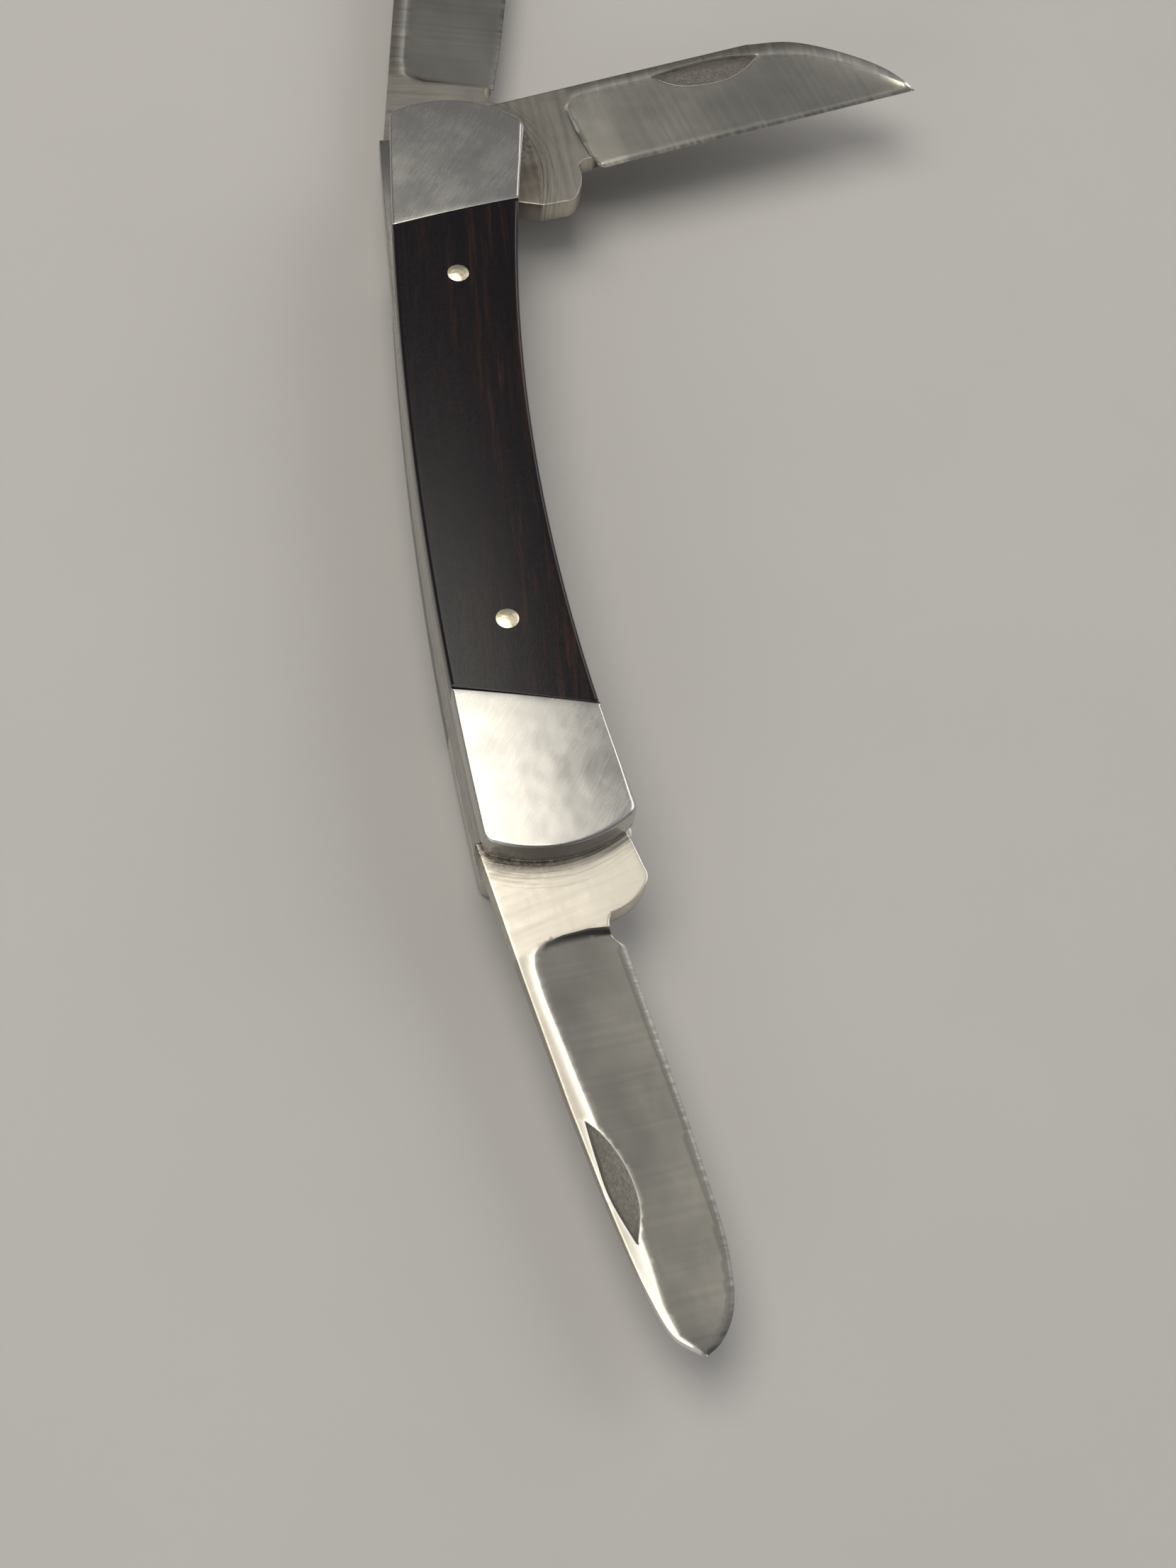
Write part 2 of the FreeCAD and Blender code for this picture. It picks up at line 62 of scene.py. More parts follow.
MM = 0.001
HALF, _, TOP_COVER_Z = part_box("front_liner")[1] / MM      # half the handle's length; where the upper covers start
TOP_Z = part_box("front_scale")[1].z / MM
BOTTOM_LINER_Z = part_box("back_liner")[0].z / MM
LOWER_LAYER_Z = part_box("lower_spring")[0].z / MM
UPPER_LAYER_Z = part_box("upper_spring")[0].z / MM
PIVOT_X, PIVOT_Y, _ = [(a + b) / 2 / MM for a, b in zip(*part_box("main_pivot_pin"))]
SCALE_PIN_X, SCALE_PIN_Y, _ = [(a + b) / 2 / MM for a, b in zip(*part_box("front_scale_pin_main"))]
RIVET_X, RIVET_Y, _ = [(a + b) / 2 / MM for a, b in zip(*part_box("spring_rivet"))]

# The handle's outline: the arcs of its back and belly, and how far their corners stand in from its ends.
BACK_CROWN_Y, BACK_CORNER_Y, BACK_SETBACK = 9.3, 7.0, 1.5
BELLY_CROWN_Y, BELLY_CORNER_Y, BELLY_SETBACK = -3.9, -8.6, 3.6
BELLY_END, BACK_END = HALF - BELLY_SETBACK, HALF - BACK_SETBACK
END_CREST_Y = 1.4                             # the handle's end stands out furthest here
CORNER_ROUND = 1.5
SEAM_AT_BACK, SEAM_AT_BELLY = 19.2, 15.4      # bolster's length along the back and the belly

# The two covers: name, outer face, inner face, and whether the outer face looks down.
COVERS = (("front", TOP_Z, TOP_COVER_Z, False), ("back", 0.0, BOTTOM_LINER_Z, True))
BOLSTER_MIDDLE, BOLSTER_SPREAD = (HALF - 8.5, -0.2), (10.5, 9.5)      # top and reach of its dome
BOLSTER_SEAM_ROUND, SCALE_SEAM_ROUND = 0.10, 0.07
SEAM_DROOP, SEAM_DROOP_WIDTH = 0.025, 0.9     # a bolster is rubbed lower beside the softer wood
SCALE_CROWN, SCALE_CROWN_Y, SCALE_CROWN_REACH = 0.10, 2.6, 6.6
SCALE_BELOW_BOLSTER = 0.03
SCALE_HOLE = 1.23

TANG_RADIUS = 5.2
SPINE_Y = 9.8
TANG_BORE = 1.54
SPRING_END_SETBACK, SPRING_GAP = 3.0, 0.25    # where a spring ends, and the gap to the blade's shoulder
STOCK = 2.75                                  # a blade's full thickness
EDGE_HALF, TIP_HALF, BEVEL_HALF = 0.15, 0.06, 0.03      # half thicknesses at edge, tip and bevel
BEVEL_FALL = 0.14
PLUNGE_WIDTH = 0.7                            # from the tang's face down to the full hollow
NICK_WALL, NICK_FLOOR_RAMP = 0.14, 0.30
TIP_TAPER = 1.4
END_SWEEP = 28.0                              # how round the handle's end is, seen from the open blade

SCALE_PIN_RADIUS, PIVOT_RADIUS, RIVET_RADIUS = 1.2, 1.5, 0.9
PIN_IN_LINER = 0.6                            # a scale pin reaches this far into the liner under its scale
PIN_UNEVENNESS = 0.10
PIVOT_SUNK = 0.5                              # the pivot pins' ends lie this deep inside the bolsters


# ---- Flat outlines ----
def arc(a, mid, b, count):
    """Points on the circle through three points, from a to b."""
    (ax, ay), (bx, by), (cx, cy) = a, mid, b
    d = 2 * (ax * (by - cy) + bx * (cy - ay) + cx * (ay - by))
    a2, b2, c2 = ax * ax + ay * ay, bx * bx + by * by, cx * cx + cy * cy
    ux = (a2 * (by - cy) + b2 * (cy - ay) + c2 * (ay - by)) / d
    uy = (a2 * (cx - bx) + b2 * (ax - cx) + c2 * (bx - ax)) / d
    r = math.hypot(ax - ux, ay - uy)
    start, middle, end = (math.atan2(p[1] - uy, p[0] - ux) for p in (a, mid, b))
    if (middle - start) % math.tau < (end - start) % math.tau:
        sweep = (end - start) % math.tau
    else:
        sweep = -((start - end) % math.tau)
    return [(ux + r * math.cos(start + sweep * k / count), uy + r * math.sin(start + sweep * k / count))
            for k in range(count + 1)]


def smooth(points, count):
    """A smooth curve through the points, count steps to each span."""
    p = [np.array(q, float) for q in points]
    p = [2 * p[0] - p[1]] + p + [2 * p[-1] - p[-2]]
    out = []
    for i in range(1, len(p) - 2):
        t = [0.0]
        for k in range(3):
            t.append(t[-1] + max(np.linalg.norm(p[i + k] - p[i + k - 1]), 1e-6) ** 0.5)
        for s in np.linspace(t[1], t[2], count, endpoint=False):
            a = [((t[k + 1] - s) * p[i - 1 + k] + (s - t[k]) * p[i + k]) / (t[k + 1] - t[k]) for k in range(3)]
            b = [((t[k + 2] - s) * a[k] + (s - t[k]) * a[k + 1]) / (t[k + 2] - t[k]) for k in range(2)]
            out.append(tuple(((t[2] - s) * b[0] + (s - t[1]) * b[1]) / (t[2] - t[1])))
    return out + [tuple(points[-1])]


def even(points, step):
    """The same line with no span longer than step, its corners kept."""
    out = [tuple(points[0])]
    for a, b in zip(points[:-1], points[1:]):
        n = max(1, math.ceil(math.dist(a, b) / step))
        out += [(a[0] + (b[0] - a[0]) * k / n, a[1] + (b[1] - a[1]) * k / n) for k in range(1, n + 1)]
    return out


def rounded(before, after, radius):
    """Two lines that meet in a corner, joined by an arc."""
    corner = np.array(before[-1])
    back = np.array(before[-2]) - corner
    on = np.array(after[1]) - corner
    back, on = back / np.linalg.norm(back), on / np.linalg.norm(on)
    half = math.acos(float(np.clip(back @ on, -1, 1))) / 2
    cut = radius / math.tan(half)
    centre = corner + (back + on) / np.linalg.norm(back + on) * radius / math.sin(half)
    a, b = corner + back * cut, corner + on * cut
    middle = centre - (back + on) / np.linalg.norm(back + on) * radius
    keep_a = [p for p in before if math.dist(p, corner) > cut * 1.02]
    keep_b = [p for p in after if math.dist(p, corner) > cut * 1.02]
    return keep_a + arc(tuple(a), tuple(middle), tuple(b), 10) + keep_b


def on_arc(end, corner_y, crown_y, x0, x1, count):
    """Evenly spaced points on the arc over both ends of the handle."""
    full = arc((-end, corner_y), (0, crown_y), (end, corner_y), 400)
    x, y = [p[0] for p in full], [p[1] for p in full]
    return [(s, float(np.interp(s, x, y))) for s in np.linspace(x0, x1, count)]


def back_line(x0, x1, count):
    """The handle's back from x0 to x1."""
    return on_arc(BACK_END, BACK_CORNER_Y, BACK_CROWN_Y, x0, x1, count)


def belly_line(x0, x1, count):
    """The handle's belly from x0 to x1."""
    return on_arc(BELLY_END, BELLY_CORNER_Y, BELLY_CROWN_Y, x0, x1, count)


def seam_x(y):
    """Where bolster and scale meet at the main end."""
    along = (BACK_CROWN_Y - y) / (BACK_CROWN_Y - BELLY_CORNER_Y)
    return HALF - (SEAM_AT_BACK + along * (SEAM_AT_BELLY - SEAM_AT_BACK))


def seam_end(line, shift):
    """Where the seam, moved along the handle by shift, crosses a line."""
    gaps = [(p[0] - seam_x(p[1]) - shift, p) for p in line]
    for (ga, a), (gb, b) in zip(gaps[:-1], gaps[1:]):
        if ga * gb <= 0:
            s = ga / (ga - gb)
            return (a[0] + (b[0] - a[0]) * s, a[1] + (b[1] - a[1]) * s)


def seam_ends(shift):
    """The seam's foot on the belly and its head on the back."""
    return seam_end(belly_line(0, BELLY_END, 400), shift), seam_end(back_line(0, BACK_END, 400), shift)


def bolster_outline(shift):
    """The main end's bolster, anticlockwise from the seam's foot."""
    foot, head = seam_ends(shift)
    belly = belly_line(foot[0], BELLY_END, 30)
    end = arc((BELLY_END, BELLY_CORNER_Y), (HALF, END_CREST_Y), (BACK_END, BACK_CORNER_Y), 40)
    back = back_line(BACK_END, head[0], 40)
    return rounded(rounded(belly, end, CORNER_ROUND), back, CORNER_ROUND)


def scale_outline(gap):
    """A scale, anticlockwise from its far foot."""
    foot, head = seam_ends(-gap)
    return belly_line(-foot[0], foot[0], 120) + back_line(head[0], -head[0], 120)


# ---- Plates: an outline with a shaped face each side ----
CREASE_FROM_RIM = 0.04                        # a crease nearer to the rim than this is left out


def to_line(points, line, closed=True):
    """Distance of each point to a line."""
    ends = np.roll(line, -1, 0) if closed else line[1:]
    starts = line if closed else line[:-1]
    best = np.full(len(points), 1e9)
    for a, b in zip(starts, ends):
        ab = b - a
        t = np.clip(((points - a) @ ab) / max(ab @ ab, 1e-12), 0, 1)
        best = np.minimum(best, np.linalg.norm(points - a - t[:, None] * ab, axis=1))
    return best


def inside(points, line):
    """Which points lie within a closed line."""
    x, y = points[:, 0], points[:, 1]
    odd = np.zeros(len(points), bool)
    for (ax, ay), (bx, by) in zip(line, np.roll(line, -1, 0)):
        if ay != by:
            odd ^= ((ay > y) != (by > y)) & (x < (bx - ax) * (y - ay) / (by - ay) + ax)
    return odd


def inset(line, distance):
    """A closed anticlockwise line moved inwards."""
    before, after = np.roll(line, 1, 0), np.roll(line, -1, 0)
    a, b = line - before, after - line
    a /= np.linalg.norm(a, axis=1)[:, None]
    b /= np.linalg.norm(b, axis=1)[:, None]
    n = np.stack([-(a + b)[:, 1], (a + b)[:, 0]], 1)
    size = np.linalg.norm(n, axis=1)[:, None]
    n /= size
    return line + n * distance / np.clip(size / 2, 0.5, 1)


def circle(x, y, radius, count=32):
    """A closed ring of points."""
    return [(x + radius * math.cos(math.tau * k / count), y + radius * math.sin(math.tau * k / count))
            for k in range(count)]


def plate_points(line, step, rings, creases, holes):
    """Points and edges of a plate's faces: its outline, rings inside it, creases, holes, and a grid between."""
    points, edges = [tuple(p) for p in line], []
    for ring in rings:
        moved = inset(line, ring)
        points += [tuple(p) for p in moved[to_line(moved, line) > ring * 0.9]]
    for crease in creases:
        c = np.array(even(crease, step * 0.7))
        ok = inside(c, line) & (to_line(c, line) > CREASE_FROM_RIM)
        first = len(points)
        edges += [(first + i, first + i + 1) for i in range(len(c) - 1) if ok[i] and ok[i + 1]]
        points += [tuple(p) if o else tuple(line[0]) for p, o in zip(c, ok)]
    for hole in holes:
        first = len(points)
        points += hole
        edges += [(first + i, first + (i + 1) % len(hole)) for i in range(len(hole))]
    xs = np.arange(line[:, 0].min(), line[:, 0].max(), step)
    ys = np.arange(line[:, 1].min(), line[:, 1].max(), step)
    grid = np.stack(np.meshgrid(xs, ys, indexing="ij"), -1).reshape(-1, 2)
    grid = grid[inside(grid, line)]
    grid = grid[to_line(grid, line) > max(rings) + 0.45 * step]
    for crease in creases:
        grid = grid[to_line(grid, np.array(crease, float), False) > 0.3 * step]
    for hole in holes:
        grid = grid[to_line(grid, np.array(hole)) > 0.3 * step]
    return points + [tuple(p) for p in grid], edges


def plate_triangles(line, points, edges, holes):
    """Anticlockwise triangles between the points, within the outline and clear of the holes."""
    result = delaunay_2d_cdt([Vector(p) for p in points], edges, [list(range(len(line)))], 1, 1e-5, True)
    flat = np.array([tuple(v) for v in result[0]])
    tris = np.array([f for f in result[2] if len(f) == 3])
    a, b, c = flat[tris[:, 0]], flat[tris[:, 1]], flat[tris[:, 2]]
    area = (b[:, 0] - a[:, 0]) * (c[:, 1] - a[:, 1]) - (b[:, 1] - a[:, 1]) * (c[:, 0] - a[:, 0])
    tris[area < 0] = tris[area < 0][:, ::-1]
    middle = (a + b + c) / 3
    keep = (np.abs(area) > 1e-9) & inside(middle, line)
    for hole in holes:
        keep &= ~inside(middle, np.array(hole))
    return flat, tris[keep]


def open_sides(tris):
    """The triangles' sides that no other triangle shares."""
    once = {}
    for t in tris:
        for u, v in ((t[0], t[1]), (t[1], t[2]), (t[2], t[0])):
            if (v, u) in once:
                del once[(v, u)]
            else:
                once[(u, v)] = True
    return list(once)


def plate(name, outline, faces, place, step, rings, creases=(), holes=(), flip=False, marks=None):
    """A closed solid over an outline.

    faces(points, distance to rim) gives its lower and upper heights, place moves it from its own lines to
    the knife, and marks(points, side) gives values that its material reads.
    """
    line = np.array(outline, float)
    line = line[np.linalg.norm(line - np.roll(line, 1, 0), axis=1) > 1e-4]
    if np.sum(line[:, 0] * np.roll(line[:, 1], -1) - line[:, 1] * np.roll(line[:, 0], -1)) < 0:
        line = line[::-1]
    points, edges = plate_points(line, step, rings, creases, holes)
    flat, tris = plate_triangles(line, points, edges, holes)
    low, high = faces(flat, to_line(flat, line))
    local = np.concatenate([np.column_stack([flat, high]), np.column_stack([flat, low])])
    count = len(flat)
    polygons = [tuple(t) for t in tris] + [tuple(t[::-1] + count) for t in tris]
    polygons += [(u, u + count, v + count, v) for u, v in open_sides(tris)]
    if flip:
        polygons = [p[::-1] for p in polygons]
    mesh = bpy.data.meshes.new(name)
    mesh.from_pydata([tuple(p) for p in place(local) * MM], [], [tuple(int(i) for i in p) for p in polygons])
    here = mesh.attributes.new("place", "FLOAT_VECTOR", "POINT")
    here.data.foreach_set("vector", local.astype(np.float32).ravel())
    if marks:
        lower = marks(flat, -1)
        for key, values in marks(flat, 1).items():
            layer = mesh.attributes.new(key, "FLOAT", "POINT")
            layer.data.foreach_set("value", np.concatenate([values, lower[key]]).astype(np.float32))
    return finished(name, mesh)


def finished(name, mesh, sharp=32):
    """A piece with no loose points, smooth but for its sharp corners."""
    mesh.validate()
    bm = bmesh.new()
    bm.from_mesh(mesh)
    bmesh.ops.delete(bm, geom=[v for v in bm.verts if not v.link_faces], context="VERTS")
    bm.to_mesh(mesh)
    bm.free()
    mesh.shade_smooth()
    mesh.set_sharp_from_angle(angle=math.radians(sharp))
    piece = bpy.data.objects.new(name, mesh)
    bpy.context.scene.collection.objects.link(piece)
    return piece


def settle(piece, body, nodes, finish):
    """Gives a piece its finish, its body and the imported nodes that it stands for."""
    piece.data.materials.clear()
    piece.data.materials.append(finish)
    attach(piece, body)
    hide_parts(*nodes)


def quarter(distance, size):
    """How far a rounded rim of that size drops at a distance from its edge."""
    share = np.clip(distance / np.maximum(size, 1e-6), 0, 1)
    return size * (1 - np.sqrt(np.clip(1 - (1 - share) ** 2, 0, 1)))


def step_up(value, start, width):
    """A smooth rise from 0 to 1."""
    t = np.clip((value - start) / width, 0, 1)
    return t * t * (3 - 2 * t)


# ---- Materials ----
class Nodes:
    """A node tree that is built one node at a time."""

    def __init__(self, tree):
        self.tree = tree

    def add(self, kind, inputs=None, **settings):
        """A new node; each input takes a value or another node's socket."""
        node = self.tree.nodes.new(kind)
        for key, value in settings.items():
            setattr(node, key, value)
        for key, value in (inputs or {}).items():
            self.set(node, key, value)
        return node

    def set(self, node, key, value):
        """Gives an input a value, or links it to a socket."""
        if isinstance(value, bpy.types.NodeSocket):
            self.tree.links.new(value, node.inputs[key])
        else:
            node.inputs[key].default_value = value

    def maths(self, kind, a, b=0.0):
        return self.add("ShaderNodeMath", {0: a, 1: b}, operation=kind).outputs[0]

    def times(self, a, b):
        return self.maths("MULTIPLY", a, b)


class Finish(Nodes):
    """A material and what its nodes are made of."""

    def __init__(self, name):
        self.material = bpy.data.materials.get(name) or bpy.data.materials.new(name)
        self.material.use_nodes = True
        super().__init__(self.material.node_tree)
        self.tree.nodes.clear()
        self.shader = self.add("ShaderNodeBsdfPrincipled")
        self.add("ShaderNodeOutputMaterial", {0: self.shader.outputs[0]})

    def pattern(self, source, unit, scale, turn, detail, rough, bend):
        """A noise turned by some degrees and stretched: its features are 1 / scale units long on each axis."""
        turned = self.add("ShaderNodeMapping", {"Vector": source, "Rotation": (0, 0, math.radians(turn))})
        stretched = self.add("ShaderNodeMapping", {
            "Vector": turned.outputs[0], "Scale": tuple(s / unit for s in scale)})
        return self.add("ShaderNodeTexNoise", {
            "Vector": stretched.outputs[0], "Scale": 1.0, "Detail": detail, "Roughness": rough,
            "Distortion": bend}).outputs["Fac"]

    def noise(self, scale, turn, detail, rough=0.5, bend=0.0):
        """A noise in millimetres of the knife."""
        source = self.add("ShaderNodeTexCoord").outputs["Object"]
        return self.pattern(source, MM, scale, turn, detail, rough, bend)

    def brush(self, scale, turn, detail, rough=0.5, bend=0.0):
        """A noise in millimetres of the piece's own lines, which turns with a blade."""
        source = self.add("ShaderNodeAttribute", attribute_name="place").outputs["Vector"]
        return self.pattern(source, 1.0, scale, turn, detail, rough, bend)

    def span(self, value, a, b, low=0.0, high=1.0):
        """A value's stretch from a to b, spread from low to high."""
        return self.add("ShaderNodeMapRange", {
            "Value": value, "From Min": a, "From Max": b, "To Min": low, "To Max": high}).outputs[0]

    def blend(self, share, a, b):
        """A colour between a and b."""
        return self.add("ShaderNodeMix", {0: share, 6: a, 7: b}, data_type="RGBA").outputs[2]

    def over(self, tone, mask, amount, colour):
        """A tone with a colour laid over it where the mask is."""
        return self.blend(self.times(mask, amount), tone, rgba(colour))

    def metal(self, tone, rough, normal):
        """The shader's own inputs for a bare metal."""
        self.set(self.shader, "Base Color", tone)
        self.shader.inputs["Metallic"].default_value = 1.0
        self.set(self.shader, "Roughness", rough)
        self.set(self.shader, "Normal", normal)
        return self.material

    def mark(self, name):
        """One of the values that plate() stored on the mesh."""
        return self.add("ShaderNodeAttribute", attribute_name=name).outputs["Fac"]

    def bump(self, height, strength, distance, normal=None):
        inputs = {"Height": height, "Strength": strength, "Distance": distance * MM}
        if normal:
            inputs["Normal"] = normal
        return self.add("ShaderNodeBump", inputs).outputs[0]


# Tones that lie over the metals: dirt, painted shade, a painted highlight, a painted dark reflection, grinding, wear,
# and a darkening just outside the handle's end.
BOLSTER_DIRT, STAIN, DARK_BY_HANDLE_END, PIT = (0.16, 0.13, 0.10), (0.15, 0.13, 0.11), (0.07, 0.055, 0.045), (0.10, 0.08, 0.06)
PLUNGE_SHADE, PAINTED_BEVEL_REFLECTION, MILLED = (0.055, 0.050, 0.045), (0.17, 0.165, 0.15), (0.14, 0.130, 0.115)
RUBBED, PAINTED_BROW_HIGHLIGHT = (0.22, 0.185, 0.15), (0.95, 0.92, 0.84)


def rgba(colour, gain=1.0):
    """A colour for a socket, made lighter or darker."""
    return (*(c * gain for c in colour), 1.0)


def bolster_finish():
    """Polished nickel silver with fine curved scratches, a little dirt and soft dents."""
    f = Finish("polished_bolster")
    arcs = f.noise((0.4, 5.0, 2.0), 32, 4.0, 0.65, 0.6)
    fine = f.noise((1.2, 9.0, 4.0), -12, 2.0, 0.6, 0.3)
    broad = f.noise((0.16, 0.16, 0.16), 0, 2.0)
    pits = f.span(f.noise((2.6, 2.6, 2.6), 0, 4.0, 0.7), 0.66, 0.74)
    tone = f.blend(broad, rgba(colours().bolster), rgba(colours().bolster, 0.88))
    tone = f.over(tone, pits, 0.35, BOLSTER_DIRT)
    rough = f.maths("ADD", f.span(arcs, 0.3, 0.7, 0.225, 0.285), f.span(broad, 0.3, 0.7, -0.03, 0.05))
    relief = f.bump(fine, 0.08, 0.006, f.bump(arcs, 0.10, 0.010))
    return f.metal(tone, rough, f.bump(broad, 0.35, 0.25, relief))


def wood_finish():
    """Near-black wood with faint red-brown streaks along the handle and a hand-worn sheen."""
    f = Finish("dark_wood")
    grain = f.noise((0.06, 1.1, 1.1), 3, 6.0, 0.66, 0.4)
    flecks = f.noise((0.20, 3.5, 3.5), 3, 3.0, 0.6)
    pores = f.noise((0.5, 9.0, 9.0), 0, 4.0, 0.7)
    rub = f.noise((1.2, 8.0, 4.0), 58, 4.0, 0.7, 0.4)
    streak = f.times(f.span(grain, 0.49, 0.72), f.span(flecks, 0.35, 0.65, 0.15, 1.0))
    height = f.add("ShaderNodeSeparateXYZ", {
        "Vector": f.add("ShaderNodeTexCoord").outputs["Object"]}).outputs[1]
    streak = f.times(streak, f.span(height, 6 * MM, -4 * MM, 0.35, 1.25))
    tone = f.blend(streak, rgba(colours().wood_dark), rgba(colours().wood_streak))
    tone = f.blend(f.span(pores, 0.60, 0.72, 0.0, 0.5), tone, rgba(colours().wood_dark, 0.4))
    f.set(f.shader, "Base Color", tone)
    rough = f.maths("ADD", f.span(rub, 0.3, 0.7, 0.13, 0.22), f.span(pores, 0.3, 0.7, -0.02, 0.05))
    f.set(f.shader, "Roughness", rough)
    f.shader.inputs["Specular IOR Level"].default_value = 0.40
    relief = f.bump(pores, 0.25, 0.02)
    f.set(f.shader, "Normal", f.bump(rub, 0.18, 0.02, relief))
    return f.material


def blade_finish(name, seed, flats_light_gain, ground_light_gain):
    """Satin steel: brushed across the flats, ground across the hollow, rough in the nail nick."""
    f = Finish(name)
    # Painted light and shade: the two gains make this blade's copy of the one steel lighter or darker for how the light
    # falls on it.
    flat_steel = [c * flats_light_gain for c in colours().steel]
    ground_steel = [c * ground_light_gain for c in colours().steel_ground]
    ground, nick, bevel, by_handle_end = (f.mark(m) for m in ("ground", "nick", "bevel", "by_handle_end"))
    brow_highlight, strip, shade, past = (f.mark(m) for m in ("brow_highlight", "strip", "shade", "past"))
    across = f.brush((1.5, 0.07, 0.3), 4 + seed, 3.0, 0.62)
    lines = f.brush((1.7, 0.04, 0.3), -2, 2.0, 0.62)
    cross = f.brush((0.12, 1.4, 0.3), 8 + seed, 2.0, 0.5)
    milled = f.brush((2.4, 5.0, 3.0), 0, 5.0, 0.75)
    broad = f.brush((0.12, 0.2, 0.2), seed, 3.0)
    pits_noise = f.brush((1.9, 1.9, 1.9), seed, 5.0, 0.75)
    pits = f.span(pits_noise, 0.70, 0.77)
    tone = f.blend(f.span(across, 0.3, 0.7), rgba(flat_steel), rgba(flat_steel, 0.84))
    hollow = f.blend(f.span(lines, 0.3, 0.7), rgba(ground_steel), rgba(ground_steel, 0.90))
    dull = f.blend(f.span(broad, 0.3, 0.7), rgba(flat_steel, 0.58), rgba(flat_steel, 0.68))
    tone = f.blend(strip, tone, dull)
    # Painted highlight: a pale band along the brow and round the nick.
    tone = f.blend(brow_highlight, tone, rgba(PAINTED_BROW_HIGHLIGHT, flats_light_gain))
    tone = f.blend(f.times(ground, 0.95), tone, hollow)
    tone = f.over(tone, shade, 0.85, PLUNGE_SHADE)
    # Painted dark reflection: the edge bevel is coloured darker to stand for the dark that it reflects.
    tone = f.over(tone, bevel, f.span(lines, 0.35, 0.65, 0.45, 0.9), PAINTED_BEVEL_REFLECTION)
    tone = f.over(tone, pits, 0.5, PIT)
    tone = f.over(tone, nick, f.span(milled, 0.35, 0.65, 0.55, 1.0), MILLED)
    # Rings rubbed round the end of the handle as the blade is opened and shut.
    place = f.add("ShaderNodeAttribute", attribute_name="place").outputs["Vector"]
    along = f.add("ShaderNodeSeparateXYZ", {"Vector": place}).outputs[1]
    round_end = f.add("ShaderNodeCombineXYZ", {"X": f.times(past, 3.0), "Y": f.times(along, 0.10)})
    rings = f.add("ShaderNodeTexNoise", {
        "Vector": round_end.outputs[0], "Scale": 1.0, "Detail": 3.0, "Roughness": 0.65}).outputs["Fac"]
    worn = f.times(f.span(rings, 0.48, 0.62), f.span(past, 0.5, 3.6, 1.0, 0.0))
    tone = f.over(tone, worn, 0.8, RUBBED)
    # Darker in patches just outside the handle's end.
    patchy = f.times(by_handle_end, f.span(pits_noise, 0.38, 0.58, 0.25, 1.0))
    tone = f.over(tone, patchy, 0.9, DARK_BY_HANDLE_END)
    on_flats = f.maths("SUBTRACT", 1.0, ground)
    across_flats = f.times(on_flats, f.span(across, 0.35, 0.65, -0.04, 0.05))
    rough = f.maths("ADD", f.span(broad, 0.3, 0.7, 0.28, 0.34), across_flats)
    rough = f.maths("ADD", f.maths("SUBTRACT", rough, f.times(ground, 0.07)), f.times(nick, 0.22))
    brushed = f.maths("ADD", f.times(across, on_flats), f.times(lines, f.times(ground, 0.3)))
    relief = f.bump(brushed, 0.2, 0.014)
    relief = f.bump(f.times(rings, f.span(past, 0.3, 3.2, 1.0, 0.0)), 0.5, 0.04, relief)
    relief = f.bump(broad, 0.15, 0.22, relief)
    relief = f.bump(cross, 0.05, 0.010, relief)
    relief = f.bump(f.times(milled, nick), 0.8, 0.10, relief)
    return f.metal(tone, rough, f.bump(f.times(lines, bevel), 0.5, 0.02, relief))


def edge_metal_finish(name, tint):
    """Springs, liners and pivot pins: polished along the handle, darker in streaks."""
    f = Finish(name)
    drawn = f.noise((0.35, 7.0, 9.0), 0, 5.0, 0.65)
    cross = f.noise((9.0, 1.0, 1.0), 0, 3.0, 0.6)
    stain = f.span(f.noise((0.25, 0.8, 0.8), 0, 4.0, 0.6), 0.5, 0.75)
    tone = f.blend(f.span(drawn, 0.35, 0.7), rgba(tint), rgba(tint, 0.72))
    tone = f.over(tone, stain, 0.45, STAIN)
    relief = f.bump(drawn, 0.3, 0.012)
    return f.metal(tone, f.span(drawn, 0.3, 0.7, 0.22, 0.36), f.bump(cross, 0.15, 0.008, relief))


def pin_finish():
    """Pale yellow pin heads, filed flush and rubbed."""
    f = Finish("pin_heads")
    file_marks = f.noise((8.0, 1.2, 2.0), 25, 4.0, 0.6)
    spots = f.noise((1.1, 1.1, 1.1), 0, 3.0)
    tone = f.blend(f.span(spots, 0.4, 0.7), rgba(colours().pin), rgba(colours().pin, 0.82))
    relief = f.bump(file_marks, 0.3, 0.010)
    return f.metal(tone, f.span(file_marks, 0.3, 0.7, 0.24, 0.38), f.bump(spots, 0.5, 0.12, relief))


def floor_finish():
    """Matt pale board with a barely seen mottle."""
    f = Finish("pale_board")
    mottle = f.noise((0.02, 0.02, 0.02), 0, 5.0, 0.6)
    f.set(f.shader, "Base Color", f.blend(
        f.span(mottle, 0.3, 0.7), rgba(colours().board), rgba(colours().board, 0.965)))
    f.shader.inputs["Roughness"].default_value = 0.75
    f.shader.inputs["Specular IOR Level"].default_value = 0.25
    return f.material


